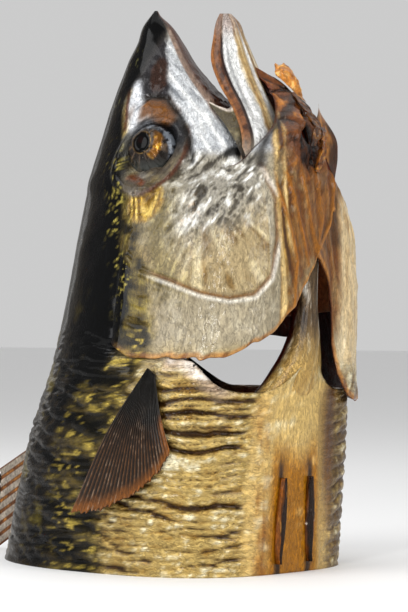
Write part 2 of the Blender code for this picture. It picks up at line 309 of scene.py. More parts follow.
def skin_material(name, grain_mm, speckle, bump_mm, coat_weight, light=0.0):
    """Paint varied by grain, bump from wrinkles and crease lines, and an oily coat.

    grain_mm is the width of the finest streaks and speckle the strength of the light and dark
    flecks. The third channel of the finish turns the streaks from up the fish to across it.
    light lets light pass into the flesh.
    """
    material = bpy.data.materials.new(name)
    material.use_nodes = True
    tree = material.node_tree
    tree.nodes.clear()
    place = add(tree, "ShaderNodeTexCoord")["Object"]
    paint = add(tree, "ShaderNodeAttribute", attribute_name="paint")["Color"]
    finish = add(tree, "ShaderNodeAttribute", attribute_name="finish")["Color"]
    metal, rough, turned = add(tree, "ShaderNodeSeparateColor", {"Color": finish})
    sizes = ((grain_mm * 2, 4.0), (grain_mm * 6, 3.0))  # width in mm and detail: fine, broad
    ways = []
    for stretch in ((1.0, 1.0, 0.45), (0.42, 0.42, 1.0)):  # up the fish, and across it
        vector = add(tree, "ShaderNodeMapping", {"Vector": place, "Scale": stretch})["Vector"]
        for width, detail in sizes:
            pattern = {"Scale": 1 / (MM * width), "Detail": detail, "Roughness": 0.62}
            inputs = {"Vector": vector, "Distortion": 0.3, **pattern}
            ways.append(add(tree, "ShaderNodeTexNoise", inputs)[0])
    fine = add(tree, "ShaderNodeMix", {0: turned, 2: ways[0], 3: ways[2]})[0]
    broad = add(tree, "ShaderNodeMix", {0: turned, 2: ways[1], 3: ways[3]})[0]
    # thin dark crease lines where the broad noise crosses its middle value: grooves in the bump,
    # darkened as painted shade
    middle = add(tree, "ShaderNodeMath", {0: broad, 1: 0.5}, operation="SUBTRACT")[0]
    away = add(tree, "ShaderNodeMath", {0: middle}, operation="ABSOLUTE")[0]
    lines = add(tree, "ShaderNodeMapRange", {"Value": away, "From Max": 0.05})[0]
    # fine streaks, broad streaks and the lines each scale the paint
    colour = paint
    for value, low, high, to_low, to_high in (
        (fine, 0.35, 0.65, 1 - speckle, 1 + speckle),
        (broad, 0.35, 0.65, 1 - 0.5 * speckle, 1 + 0.5 * speckle),
        (lines, 0.0, 1.0, 1 - 0.8 * speckle, 1.0),
    ):
        limits = {"From Min": low, "From Max": high, "To Min": to_low, "To Max": to_high}
        tone = add(tree, "ShaderNodeMapRange", {"Value": value, **limits})[0]
        colour = add(tree, "ShaderNodeVectorMath", {0: colour, 1: tone}, operation="MULTIPLY")[0]
    height = add(tree, "ShaderNodeMath", {0: broad, 1: 2.0, 2: fine}, operation="MULTIPLY_ADD")[0]
    creased = {0: lines, 1: 0.35, 2: height}
    height = add(tree, "ShaderNodeMath", creased, operation="MULTIPLY_ADD")[0]
    uneven = add(tree, "ShaderNodeMath", {0: broad, 1: 0.14, 2: rough}, operation="MULTIPLY_ADD")
    wrinkled = {"Height": height, "Strength": 1.0, "Distance": bump_mm * MM}
    bump = add(tree, "ShaderNodeBump", wrinkled)
    surface = {
        "Base Color": colour,
        "Metallic": metal,
        "Roughness": uneven[0],
        "Normal": bump["Normal"],
        "Coat Weight": coat_weight,
        "Coat Roughness": 0.10,
        "Coat IOR": 1.47,  # oil
        "Specular IOR Level": 0.35,
        "Specular Tint": (0.45, 0.42, 0.38, 1.0),
    }
    if light:
        surface["Subsurface Weight"] = light
        surface["Subsurface Radius"] = (1.0, 0.35, 0.12)
        surface["Subsurface Scale"] = 2.5 * MM
    shader = add(tree, "ShaderNodeBsdfPrincipled", surface)
    add(tree, "ShaderNodeOutputMaterial", {"Surface": shader[0]})
    return material


# oily skin over silver pigment: broken metallic shine in fine streaks, and the deepest bump
SKIN = skin_material("smoked_mackerel_skin", 0.30, 0.26, 0.30, 0.30)
# dried rays: strong flecks along the rays, almost flat, with little oil
FIN = skin_material("dried_fin_rays", 0.25, 0.35, 0.10, 0.2)
# torn flesh: coarse soft grain that glows a little where light passes into it
FLESH = skin_material("smoked_torn_flesh", 0.6, 0.30, 0.35, 0.4, light=0.12)
# the dried eye: nearly smooth, so that its bulge keeps one clear gloss
EYE = skin_material("dried_fish_eye", 0.30, 0.15, 0.04, 0.25)
print("materials", [material.name for material in (SKIN, FIN, FLESH, EYE)])

# %% [markdown]
# ## The colours of the skin
#
# A mackerel is black-green over the back with short dark bars, silver on the cheeks and pale on
# the belly. Smoke turns the flank to hammered gold, the belly to amber and the gill covers to
# beige. Every border between these is given by place on the fish, and noise frays it. The paint
# is one function, used by the body and the gill covers, so the colours run on from piece to
# piece.

# %% Where the colours change
# height, x of the black back's edge, and x where olive flank turns to gold, on the fish's side
BORDERS = (
    (0.0, -13.0, 4.0),
    (20.0, -9.0, 5.5),
    (38.0, -6.0, 9.0),
    (50.0, -2.0, 10.5),
    (58.0, 1.0, 10.5),
    (68.0, 3.2, 9.5),
    (76.0, 2.5, 8.5),
    (81.0, -1.0, 6.0),
    (94.0, -3.6, 2.0),
    (107.0, -8.4, -5.0),
    (120.0, -12.0, -11.0),
    (127.0, -9.0, -9.0),
    (131.0, -7.4, -7.4),
    (134.5, -5.6, -5.6),
    (138.0, -4.0, -4.0),
    (141.0, -1.0, -1.0),
    (143.7, 6.0, 6.0),
)
# turn about the fish and height along the ridge that rims the front bone of the gill cover
RIDGE = (
    (0.56, 102.0),
    (0.49, 93.0),
    (0.50, 84.0),
    (0.55, 74.4),
    (0.67, 69.8),
    (0.83, 68.8),
    (1.01, 70.2),
    (1.23, 73.2),
    (1.49, 76.0),
    (1.62, 80.0),
)
# turn and height along the rays of the throat membrane; the last is its free edge
MEMBRANE_RAYS = (
    ((-0.50, 100.0), (-0.45, 93.0), (-0.38, 85.0), (-0.33, 78.0), (-0.36, 67.0)),
    ((-0.40, 100.0), (-0.33, 92.0), (-0.25, 84.0), (-0.20, 77.0)),
    ((-0.27, 102.0), (-0.20, 93.0), (-0.14, 86.0), (-0.10, 80.5)),
    ((-0.12, 102.0), (-0.04, 94.0), (-0.03, 87.0), (-0.08, 82.0)),
    ((0.12, 103.0), (0.14, 97.0), (0.12, 90.0), (0.02, 84.0), (-0.10, 80.4)),
)
SIDE_MM = 33.0  # millimetres along the side of the fish for one radian of turn
# x and height: the crescent and the line over the eye; round and up: the split of the throat
SOCKET_ARC = ((-7.4, 116.4), (-4.5, 117.6), (-1.2, 117.2), (1.4, 115.2))
SOCKET_LINE = (
    (-8.4, 118.6), (-5.0, 120.2), (-1.0, 119.9), (4.6, 114.8), (9.4, 109.0), (12.9, 103.0)
)
THROAT_SPLIT = ((-3.0, 123.0), (-12.0, 116.0), (-17.0, 110.0), (-18.5, 102.0))


def in_mm(points):
    """A line given by turn and height as a line in millimetres round and up the side."""
    return [(turn * SIDE_MM, height) for turn, height in points]


RIDGE_LINE = in_mm(RIDGE)
RIM_LINE = [(u - 1.0 if u < 18 else u, v - 1.0 if u > 17 else v) for u, v in RIDGE_LINE]


def membrane_rays(turn, z):
    """-1 to 1 across the curved rays that stiffen the skin under the throat."""
    fan = (turn + 0.30) * (1.0 + 0.012 * (z - 60)) + 0.0028 * (z - 80)
    return np.sin(fan * 50 + 3.5 * noise(turn * 6, 0 * z, z / 18, 15))


def inside_ridge(z, side):
    """1 on the bone in front of the ridge, 0 behind it."""
    low = np.interp(side, [t for t, _ in RIDGE], [h for _, h in RIDGE], left=130.0, right=84.0)
    low = np.where(side < 0.56, np.maximum(low, 68.0), low)
    return ease(-0.6, 0.6, z - low) * ease(0.47, 0.52, side) * ease(1.64, 1.52, side)


def skin_paint(x, y, z, relief):
    """Paint and finish of the skin at untwisted points of its surface, in millimetres.

    relief is how far the point stands above its smooth neighbourhood: valleys get painted shade,
    brown to near black, and crests a painted highlight. The finish is metallic, roughness and
    crease.
    """
    turn = np.arctan2(y, x - along(OUTLINE, z)[..., 1])
    side = np.abs(turn)
    fray = cloud(x / 7, y / 7, z / 7, 3)
    small = cloud(x / 2.2, y / 2.2, z / 2.2, 5)
    fine = cloud(x / 0.9, y / 0.9, z / 0.9, 6)
    streak = cloud(x / 1.5, y / 1.5, z / 9, 9)
    across = cloud(x / 8, y / 8, z / 1.4, 13)
    around, u = turn * SIDE_MM, side * SIDE_MM
    black_x, gold_x = np.moveaxis(along(BORDERS, z), -1, 0)
    flank = ease(0.5, 0.6, side)

    def spot(cx, cz, rx, rz):
        away = np.hypot((x - cx) / rx, (z - cz) / rz)
        return ease(1.15, 0.8, away + 0.12 * small)

    def stroke(points, width):
        return line_mask(points, x, z, width)

    # trunk: hammered gold, with a painted highlight on the crests of the folds and painted shade in
    # the valleys
    paint = base_coat(z, "#b9a269")
    coat(paint, "#f3ecd0", 0.9 * ease(-0.1, 0.6, 0.7 * small + 1.3 * relief + 0.4 * fine))
    coat(paint, "#94712f", 0.8 * ease(0.2, 0.9, -0.7 * small - 0.9 * relief + 0.3 * across))
    coat(paint, "#422a0c", 0.95 * ease(0.4, 0.9, -1.2 * relief))
    # olive above the gold, crossed by short dark bars
    trunk = ease(66.0, 54.0, z + 4 * fray)
    olive = ease(3.0, -3.0, x - gold_x + 3.5 * fray) * ease(104.0, 96.0, z)
    coat(paint, "#5a4d22", 0.92 * olive)
    coat(paint, "#a8974e", 0.65 * olive * ease(0.1, 0.6, small + 0.6 * relief))
    coat(paint, "#1c190b", 0.9 * olive * ease(-0.1, 0.5, -small + 0.6 * across - 0.4 * relief))
    bars = np.sin(z * 0.55 + 1.8 * fray + 0.10 * x) + 0.7 * small + 0.5 * across
    bar_mask = ease(0.05, 0.7, bars) * ease(2.0, -6.0, x - gold_x + 3 * fray) * trunk
    coat(paint, "#0d0e0a", 0.93 * bar_mask)
    sparkle = ease(0.30, 0.55, noise(x / 1.6, y / 1.6, z / 0.8, 33))
    coat(paint, "#d0ba62", 0.7 * olive * trunk * sparkle)
    # belly: pale gold above with a painted highlight on its near side, glossy amber below, a narrow
    # amber band at each corner, and the far side tan with painted shade where it turns from the
    # light
    belly = ease(54.0, 44.0, z + 3 * fray) * ease(0.44, 0.35, side + 0.04 * fray)
    coat(paint, "#cfb478", belly)
    # painted highlight on the near side of the belly
    pale = ease(0.0, 0.8, small + 0.5 * across) * ease(0.12, -0.12, turn)
    coat(paint, "#e6dcba", 0.8 * belly * pale)
    coat(paint, "#5f4428", belly * ease(0.14, 0.34, turn) * ease(2.0, 30.0, z + 6 * fray))
    coat(paint, "#b79c6a", 0.4 * belly * ease(0.1, 0.8, across + relief) * ease(0.1, 0.3, turn))
    # painted shade on the far belly, which turns away from the light
    shade = ease(0.26, 0.38, turn) * ease(1.2, 0.8, turn) * ease(54.0, 44.0, z + 3 * fray)
    coat(paint, "#5f4424", 0.8 * shade * ease(0.7, -0.3, small + across))
    band_at = 0.235 + 0.0027 * z + 0.02 * fray
    band = ease(0.10, 0.02, np.abs(side - band_at)) * ease(50.0, 26.0, z)
    near = ease(0.1, -0.1, turn)
    coat(paint, "#a06a18", band * (0.25 + 0.6 * near) * ease(-0.7, 0.4, fray + 0.5 * streak))
    coat(paint, "#6d3c06", 0.6 * band * ease(0.0, 0.7, streak) * near)
    middle = ease(0.25, 0.18, side) * ease(36.0, 25.0, z + 4 * fray)
    coat(paint, "#ab7814", middle)
    coat(paint, "#714a08", 0.7 * middle * ease(0.2, 0.8, fray))
    coat(paint, "#e3c183", 0.7 * middle * ease(0.3, 0.8, -fray + 0.4 * small))
    slits = ease(0.035, 0.012, np.abs(side - 0.13 + 0.012 * fray)) * ease(31.0, 26.0, z)
    coat(paint, "#241006", 0.9 * slits)

    # gill cover: grey and beige pearl, scratched
    head = ease(48.0, 58.0, z + 3 * fray) * ease(-2.5, 2.5, x - gold_x + 1.5 * fray)
    coat(paint, "#a69c86", head)
    coat(paint, "#c9c1ad", 0.85 * head * ease(0.0, 0.9, streak * 0.6 + 0.6 * small))
    coat(paint, "#8a7c62", 0.8 * head * ease(0.1, 0.9, -streak * 0.7 + 0.5 * fray))
    bone = inside_ridge(z, side) * head
    fan = np.arctan2(z - 100.0, u - 34.0)
    rays = noise(fan * 22, 0 * fan, np.hypot(z - 100.0, u - 34.0) / 14, 17)
    coat(paint, "#aa9976", 0.9 * bone)
    coat(paint, "#d3c6a4", 0.8 * bone * ease(0.0, 0.8, rays + 0.4 * small))
    coat(paint, "#7b6238", 0.85 * bone * ease(0.1, 0.7, -rays + 0.5 * small))
    # cheek: crumpled silver with dark vertical streaks
    cheek = ease(84.0, 97.0, z + 8 * ease(0.6, 1.1, side) + 4 * fray) * head * flank
    streaks = cloud((x - 0.4 * z) / 1.4, y / 2, (z + 0.5 * x) / 4.6, 23)
    coat(paint, "#a29d91", cheek)
    coat(paint, "#eeede9", 0.9 * cheek * ease(0.0, 0.45, streaks + 0.3 * small))
    coat(paint, "#3f382d", 0.9 * cheek * ease(0.05, 0.45, -streaks + 0.4 * fine))
    coat(paint, "#b3863f", 0.5 * cheek * ease(97.0, 88.0, z) * ease(0.3, 0.7, small))
    # olive-gold above the cheek and the ribbed gold patch behind the eye
    shade = ease(16.0, 3.0, x - gold_x + 4 * fray) * ease(64, 74, z) * ease(103.0, 94.0, z) * head
    coat(paint, "#7d7048", 0.85 * shade)
    coat(paint, "#c9bb8a", 0.8 * shade * ease(0.0, 0.7, streaks))
    coat(paint, "#3c331c", 0.85 * shade * ease(0.1, 0.7, -streaks + 0.3 * fray))
    gold = spot(3.6, 93.3, 5.2, 5.6) * (side > 1)
    ribs = 0.5 + 0.5 * np.sin(4.2 * (x + 0.25 * z))
    coat(paint, "#a8811f", gold)
    coat(paint, "#ecd283", gold * ribs * ease(-0.5, 0.4, small))
    coat(paint, "#4c340a", 0.7 * gold * (1 - ribs))

    # upper jaw: bright silver brushed along the bone
    above = (x + 6.0) * 0.72 + (z - 131.0) * 0.70  # across the jaw bone
    jaw = ease(-15.5, -12.5, above + 0.4 * small) * ease(104.0, 107.0, z)
    jaw = jaw * ease(139.0, 134.0, z - 0.3 * x) * ease(0.5, 1.5, x - black_x)
    brush = cloud(above / 0.9, y / 3.0, (z - x) / 15, 21)
    coat(paint, "#c6c8ca", jaw)
    coat(paint, "#f7f7f5", 0.9 * jaw * ease(0.0, 0.6, brush))
    coat(paint, "#7b7f84", 0.8 * jaw * ease(0.1, 0.6, -brush))
    nose_x = np.interp(z, (120.0, 124.0, 131.0, 136.0), (0.6, -1.1, -2.4, -3.6))
    nose = ease(1.0, -1.0, x - nose_x + 0.8 * small) * ease(143.0, 141.0, z)
    nose = nose * ease(117.8, 119.6, z - 4.0 * ease(-7.0, -8.6, x))
    coat(paint, "#221e22", 0.96 * nose)
    coat(paint, "#6b676d", 0.6 * nose * ease(0.2, 0.8, streak) * ease(0.0, 2.0, x - black_x))
    coat(paint, "#42281a", 0.8 * spot(-3.8, 126.0, 2.6, 4.6) * nose)
    # round the eye: orange crescent, black line, silver patch, gold-grey lid
    lid = ease(10.8, 9.6, np.hypot(x - 0.6, (z - 104.8) * 0.97)) * (side > 1.05)
    lid = lid * np.clip(ease(-5.0, 2.0, x - 0.4 * (z - 105)) + ease(99.5, 97.5, z), 0, 1)
    coat(paint, "#4c4236", 0.9 * lid)
    coat(paint, "#94855e", 0.6 * lid * ease(0.0, 0.6, streaks) * ease(-2, 4, x))
    coat(paint, "#c9c6c0", 0.6 * lid * ease(0.1, 0.7, across) * ease(102.0, 98.0, z))
    rim = ease(0.9, 0.2, np.abs(np.hypot(x - 0.6, (z - 104.8) * 0.97) - 9.6)) * ease(-2.0, 5.0, x)
    coat(paint, "#5a2e10", 0.85 * rim * ease(115.0, 110.0, z) * (side > 1.0))
    orange = np.clip(1.8 * stroke(SOCKET_ARC, 3.8), 0, 1) * (side > 1)
    by_eye = ease(10.4, 9.0, np.hypot(x - EYE_CENTRE[0], z - EYE_CENTRE[2]))
    by_eye = by_eye * np.clip(ease(105, 109, z) + ease(-3, -6, x), 0, 1)
    coat(paint, "#2b2d33", 0.9 * by_eye * (side > 1))
    coat(paint, "#744a10", orange)
    coat(paint, "#96661c", 0.6 * stroke(SOCKET_ARC, 2.0) * ease(0.0, 0.5, small) * (side > 1))
    coat(paint, "#0b0a09", 0.95 * stroke(SOCKET_LINE, 1.3) * (side > 0.9))
    silver = stroke(((-9.7, 123.5), (-8.2, 118.5), (-7.9, 112.5)), 2.4) * (side > 1)
    coat(paint, "#d9dbde", silver)
    coat(paint, "#8b8e93", silver * ease(0.1, 0.6, streak))
    coat(paint, "#5a1f08", 0.9 * stroke(((-11.8, 122.5), (-11.3, 118.0), (-10.0, 112.0)), 0.9))
    under_eye = stroke(((-3.6, 99.6), (0.0, 98.4), (1.6, 97.6)), 1.1) * (side > 1)
    coat(paint, "#7d4012", 0.85 * under_eye)
    coat(paint, "#151413", 0.95 * spot(22.0, 105.6, 2.8, 1.7) * (side > 0.4))

    # the ridge of the gill cover: brown groove, with a painted highlight in white along the rim
    # outside it
    cut = line_mask(RIDGE_LINE, u, z, 0.9) * head
    coat(paint, "#7a5424", 0.85 * cut)
    coat(paint, "#efebe2", 0.55 * line_mask(RIM_LINE, u, z, 0.9) * head)

    # gill membrane under the throat: brown and gold stripes between dark curved rays
    skin = ease(0.50, 0.46, side) * ease(56.0, 66.0, z)
    stripe = membrane_rays(turn, z)
    coat(paint, "#8a662c", skin)
    pale = 0.3 * streak + 0.8 * fray + 0.9 * ease(0.34, 0.48, side)
    coat(paint, "#b3955a", 0.8 * skin * ease(0.1, 0.9, pale))
    coat(paint, "#e0c690", 0.9 * skin * ease(0.3, 0.9, stripe + 0.5 * fray))
    coat(paint, "#4a280a", 0.9 * skin * ease(-0.1, -0.8, stripe + 0.5 * fray))
    inmost = skin * ease(0.43, 0.34, side)
    coat(paint, "#7a4c18", 0.85 * inmost)
    coat(paint, "#b18443", 0.7 * inmost * ease(0.0, 0.8, 0.3 * streak + fray))
    coat(paint, "#3f2209", 0.8 * skin * ease(0.1, 0.6, fray) * ease(0.4, 0.3, side))
    coat(paint, "#aa9b78", 0.6 * skin * ease(0.1, 0.7, -fray + 0.4 * small))
    for ray in MEMBRANE_RAYS:
        coat(paint, "#a8701c", 0.9 * line_mask(in_mm(ray), around, z, 1.0) * skin)
    # torn throat: dark red-brown, near black in patches and in its hollows, the hollows as painted
    # shade, with painted amber highlights on its lumps
    torn = ease(0.47, 0.36, side) * ease(98.0, 107.0, z + 3 * fray + 14 * (0.35 - side))
    coat(paint, "#70400f", 0.95 * torn)
    coat(paint, "#1c0704", torn * ease(0.1, 0.9, 0.7 * fray - 0.8 * relief + 0.3 * small))
    coat(paint, "#c08228", 0.85 * torn * ease(0.1, 0.8, 0.9 * relief - small + 0.6 * fray))
    split = line_mask(THROAT_SPLIT, around, z, 1.6)
    coat(paint, "#1b1310", 0.85 * split)
    # pale painted glints on the torn flesh
    coat(paint, "#c9bfb2", 0.6 * torn * ease(0.5, 0.8, streak))
    # the far cover is paler and has no membrane colour low down
    far = ease(0.20, 0.30, turn) * ease(1.3, 0.7, turn) * ease(40.0, 44.0, z)
    far = far * ease(100.0, 90.0, z + 4 * fray)
    coat(paint, "#d2be98", 0.9 * far * ease(50, 52, z + 8 * (side - 0.5)))
    coat(paint, "#e0d3b6", 0.7 * far * ease(0.0, 0.8, streak) * ease(50, 52, z))
    coat(paint, "#9d7c49", 0.7 * far * ease(0.1, 0.7, -streak) * ease(50, 52, z))

    # back: black with a blue sheen, olive-gold glitter along its edge
    black = ease(1.2, -1.2, x - black_x + 1.2 * small * ease(90, 60, z))
    black = black * ease(40.0, 58.0, z + 8 * fray)
    deep = ease(3.0, -9.0, x - black_x + 5 * fray) * ease(62.0, 44.0, z)
    black = np.clip(black + 0.9 * deep, 0, 1)
    coat(paint, "#060709", black)
    coat(paint, "#191b1f", 0.6 * black * ease(0.1, 0.9, streak))
    glitter = ease(0.30, 0.7, noise(x / 0.5, y / 0.5, z / 0.65, 31))
    by_edge = ease(8.0, 2.5, black_x - x + 2 * fray) * ease(-1.0, 0.5, black_x - x)
    by_edge = by_edge * ease(60.0, 78.0, z) * ease(112.0, 102.0, z)
    coat(paint, "#b3a65c", glitter * by_edge * 0.9)
    coat(paint, "#8d8a5e", 0.7 * glitter * black * ease(104.0, 120.0, z) * ease(-0.1, 0.5, fray))
    blotch = ease(0.10, 0.5, cloud(x / 4.2, y / 4.2, z / 6, 41)) * black * ease(74.0, 50.0, z)
    coat(paint, "#7d7238", 0.9 * blotch * (1 - bar_mask))
    coat(paint, "#a39654", 0.6 * blotch * glitter)

    finish = even_finish(z, 0.70, 0.33)
    finish[..., 0] += 0.30 * np.clip(black + bar_mask, 0, 1) + 0.3 * gold
    finish[..., 0] -= 0.40 * belly + 0.30 * head * (1 - jaw)
    finish[..., 0] -= 0.25 * cut + 0.5 * torn + 0.3 * skin + 0.4 * far + 0.3 * lid + 0.5 * orange
    finish[..., 1] += 0.10 * head * (1 - jaw) - 0.08 * black + 0.06 * small - 0.06 * belly
    finish[..., 2] = ease(60.0, 48.0, z + 4 * fray) * ease(0.16, 0.34, side)
    return paint, np.clip(finish, 0.02, 1.0)


# %% [markdown]
# ## The body
#
# Trunk, neck, skull and upper jaw are one closed surface. Its points start on the cut face,
# climb the trunk to the shoulder rim, roll over it, cross the hollow behind the gills to the
# thin neck and come out again under the gill covers. The dried folds that run round the trunk
# and the crumples of the cheek are real relief.


# %% Relief of the skin
def folds(x, y, z, period, bend, seed):
    """Rounded swells with sharp valleys between, wandering across the fish; 0 to 1 high."""
    wander = bend * cloud(x / 15, y / 15, z / 15, seed, 2)
    wander = wander + 0.12 * bend * noise(x / 3, y / 3, z / 3, seed + 4)
    phase = (z + wander) / period
    strength = ease(-0.65, 0.25, noise(x / 14, y / 14, phase * 0.8, seed + 5))
    return 1 - strength * (1 - np.abs(np.sin(np.pi * phase)) ** 0.45)


def trunk_relief(x, y, z, turn):
    """Height of the dried folds in mm: long ones round the trunk, short ones between them."""
    side = np.abs(turn)
    back = ease(1.15, 1.6, side)
    long_folds = folds(x, y, z + 0.10 * x * (1 - back), 3.5, 3.0, 51)
    short_folds = folds(x, y, z, 1.9, 2.4, 61)
    slant = folds(x, y, z + 0.45 * x, 5.5, 4.0, 67)
    dents = cloud(x / 2.6, y / 2.6, z / 1.6, 61)
    height = 1.5 * (long_folds - 1) * (1 - 0.5 * back) + 0.8 * (short_folds - 1)
    height = height + 1.0 * (slant - 1) * back + 0.22 * dents
    height = height + 0.3 * cloud(x / 12, y / 12, z / 5, 71)
    soft = ease(0.16, 0.34, side) * np.where(turn > 0, 0.6, 1.0) * (1 - 0.45 * ease(1.7, 2.3, side))
    streaks = cloud(x / 3, y / 1.6, z / 14, 73)
    return height * soft + (0.35 * streaks + 0.10 * dents) * (1 - ease(0.16, 0.34, side))


def head_relief(x, y, z):
    """Height of the head's bones and crumples in mm, by place."""
    turn = np.arctan2(y, x - along(OUTLINE, z)[..., 1])
    side = np.abs(turn)
    around, u = turn * SIDE_MM, side * SIDE_MM
    height = 0.25 * line_mask(RIM_LINE, u, z, 1.5) - 0.4 * line_mask(RIDGE_LINE, u, z, 1.0)
    height = height - 0.35 * inside_ridge(z, side)
    border_z, black_x, _ = np.transpose(BORDERS)
    plain = ease(0.4, 3.0, x - np.interp(z, border_z, black_x))
    cheek = ease(84.0, 97.0, z + 8 * ease(0.6, 1.1, side)) * ease(132.0, 120.0, z)
    crumple = cloud((x - 0.4 * z) / 1.4, y / 2, (z + 0.5 * x) / 4.6, 23)
    away = np.hypot(x - 0.6, z - 104.8)
    height = height + (0.5 * crumple * cheek + 0.18 * cloud(x / 1.3, y / 1.3, z / 1.8, 77)) * plain
    height = height + 0.30 * cloud(x / 9, y / 9, z / 9, 79)
    height = height - 0.9 * line_mask(SOCKET_LINE, x, z, 1.7)
    height = height + 0.35 * line_mask(SOCKET_ARC, x, z, 3.4)
    lid = ease(2.2, 0.4, np.abs(away - 9.2)) * (side > 1.05)
    height = height + 0.7 * lid + 0.25 * lid * creases(x / 2.0, y / 2.0, z / 1.4, 81)
    height = height + 0.10 * membrane_rays(turn, z) * ease(0.50, 0.44, side) * ease(108, 98, z)
    for ray in MEMBRANE_RAYS:
        height = height + 0.35 * line_mask(in_mm(ray), around, z, 1.2)
    torn = ease(0.47, 0.36, side) * ease(97.0, 106.0, z + 14 * (0.35 - side))
    torn = torn * ease(129.0, 123.0, z)
    lumps = 1.5 * cloud(x / 3.4, y / 2.6, z / 7.5, 83) - 1.3 * creases(x / 6, y / 4, z / 11, 85)
    return height + torn * (lumps - 0.2)


# %% Body surface
def collar(x, y):
    """Height of the shoulder rim. It stays low further back on the left side."""
    right = 0.7 * COLLAR_RISE * ease(37.0, 20.0, x) + 1.5 * COLLAR_RISE * ease(17.0, 10.0, x)
    left = COLLAR_RISE * ease(-10.0, -26.0, x)
    throat = 8.0 * np.exp(-((y / 8.0) ** 2)) * ease(24.0, 34.0, x)
    return COLLAR_Z + np.where(y < 0, right, left) + throat


def spread(columns):
    """Turns about the body, closer together on the belly and flanks than on the back."""
    even = np.linspace(-math.pi, math.pi, columns, endpoint=False)
    return even - 0.30 * np.sin(even)


def make_body():
    columns = 320
    turn = spread(columns)
    shoulder = collar(*outline(turn, np.full(columns, 48.0)))
    rim = np.minimum(shoulder, 56.0)
    side = np.abs(turn)
    dip = ease(2.50, 2.15, side) * ease(62.0, 56.0, shoulder)
    top = 61.0 + 24.0 * ease(0.9, 0.45, side)
    # rows of points on the cut face, up the trunk, over the rim, across the hollow and out again
    face, climb, roll, neck, out = (
        np.linspace(0, 1, count, endpoint=False)[:, None] for count in (14, 112, 22, 10, 8)
    )
    head = np.linspace(0, 1, 130)[:, None]
    lip = 0.9 * np.sin(np.pi * np.clip(roll * 5, 0, 1)) - 3.0 * np.sin(np.pi * roll**0.8) ** 2
    lip = lip - (rim - COLLAR_Z) * ease(0.04, 0.40, roll)
    foot = rim + 1.0 - dip * (rim - COLLAR_Z)
    z = np.concatenate(
        [
            0 * face * rim,
            rim * climb,
            rim + roll * 1.0 + dip * lip,
            foot + (top - foot) * neck,
            top + 5.0 * out,
            top + 5.0 + (SNOUT_Z - top - 5.0) * head,
        ]
    )
    one = np.ones(columns)
    inwards, outwards = ease(0.08, 1.0, roll), ease(1.0, 0.0, out)
    hollow = [0 * face, 0 * climb, inwards, 1 + 0 * neck, outwards, 0 * head]
    hollow = dip * np.concatenate([part * one for part in hollow])
    turn = np.broadcast_to(turn, z.shape)
    full_x, full_y = outline(turn, z)
    neck_x, neck_y = section(np.broadcast_to(NECK, z.shape + (6,)), turn)
    x, y = full_x + (neck_x - full_x) * hollow, full_y + (neck_y - full_y) * hollow
    skull_x, skull_y = section(along(SKULL, z), turn)
    up = ease(93.0, 100.0, z)
    x, y = x + (skull_x - x) * up, y + (skull_y - y) * up

    trunk = ease(66.0, 50.0, z) * (1 - hollow) * ease(0.0, 1.5, z)
    relief = trunk_relief(x, y, z, turn) * trunk
    relief = relief + head_relief(x, y, z) * ease(58.0, 68.0, z) * ease(142.0, 134.0, z)
    away = np.hypot(x - EYE_CENTRE[0], z - EYE_CENTRE[2])
    socket = ease(EYE_RADIUS + 1.0, EYE_RADIUS - 1.5, away) * ease(7.0, 12.0, np.abs(y))
    grow = (relief - 3.0 * socket) / np.maximum(np.hypot(x, y), 4.0)
    x, y = x * (1 + grow), y * (1 + grow)
    paint, finish = skin_paint(x, y, z, relief)
    # a pinkish silver band along the shoulder rim, its pale patches a painted highlight on the
    # rolled edge
    below = ease(-3.6, -0.6, z - rim) * ease(2.0, 0.5, z - rim) * ease(0.45, 0.7, side)
    below = below * (1 - hollow) * ease(68.0, 54.0, shoulder) * ease(2.1, 1.7, side)
    coat(paint, "#b3a08c", 0.9 * below)
    coat(paint, "#e6dfd6", 0.8 * below * ease(0.0, 0.5, cloud(x / 6, y / 6, z / 1.0, 86)))
    # palate, lips and the flesh of the hollow
    c = np.cos(turn)
    palate = ease(0.80, 0.93, c) * ease(110.0, 116.0, z)
    coat(paint, "#5c3a2a", palate)
    lips = ease(0.68, 0.76, c) * ease(0.96, 0.84, c) * ease(112.0, 118.0, z) * ease(142.0, 136.0, z)
    coat(paint, "#8d7462", 0.9 * lips)
    raw = ease(0.01, 0.06, hollow) * ease(0.75, 0.35, hollow) * ease(2.1, 1.6, side)
    coat(paint, "#b0602c", 0.9 * raw)
    coat(paint, "#6a2410", ease(0.35, 0.8, hollow))
    clotted = ease(0.1, 0.6, cloud(x / 3, y / 3, z / 5, 87))
    coat(paint, "#6a2008", ease(0.12, 0.45, hollow) * clotted)
    bare = np.clip(palate + lips + ease(0.02, 0.2, hollow), 0, 1)
    # the cut face: rings of pale muscle inside a dark skin line
    shrink = np.ones((len(z), 1))
    shrink[: len(face)] = 0.01 + 0.99 * face
    x, y = -6 + (x + 6) * shrink, y * shrink
    shown = np.zeros(z.shape)
    shown[: len(face)] = 1
    rings = np.sin(shrink * 26 + 1.5 * np.cos(2 * turn) + cloud(x / 6, y / 6, z, 89))
    coat(paint, "#b98b58", shown)
    coat(paint, "#8f5e33", shown * ease(0.2, 0.9, rings))
    finish[..., 0] = finish[..., 0] * (1 - bare) * (1 - shown)
    grid_piece("body_skin", placed(x, y, z), paint, finish, SKIN, "smoked_skin", "fish")


make_body()

# %% [markdown]
# ## Gill covers
#
# Each cover is a thin sheet that grows out of the cheek and throat and hangs free at the rear.
# Its points run forward on the inside, round the free edge and back up the outside, so the
# sheet closes on itself. The right cover crosses over the left one under the throat.


# %% Cover surfaces
def right_edge(x, y):
    """Rises from the flank to where the covers cross, then steeply up the throat's far side."""
    across = np.clip(y + 31.0, 0.0, 60.0)
    low = 55.4 - 1.3 * ease(-25.0, -29.0, y) + 5.0 * ease(8.0, -6.0, x)
    low = low + 0.25 * across + 0.022 * across**2
    far = np.interp(y, (-3.6, 0.0, 3.0, 4.4, 5.4, 8.0), (80.4, 83.0, 87.0, 91.0, 98.0, 103.0))
    return np.where(y < -3.6, np.minimum(low, 80.4), far)


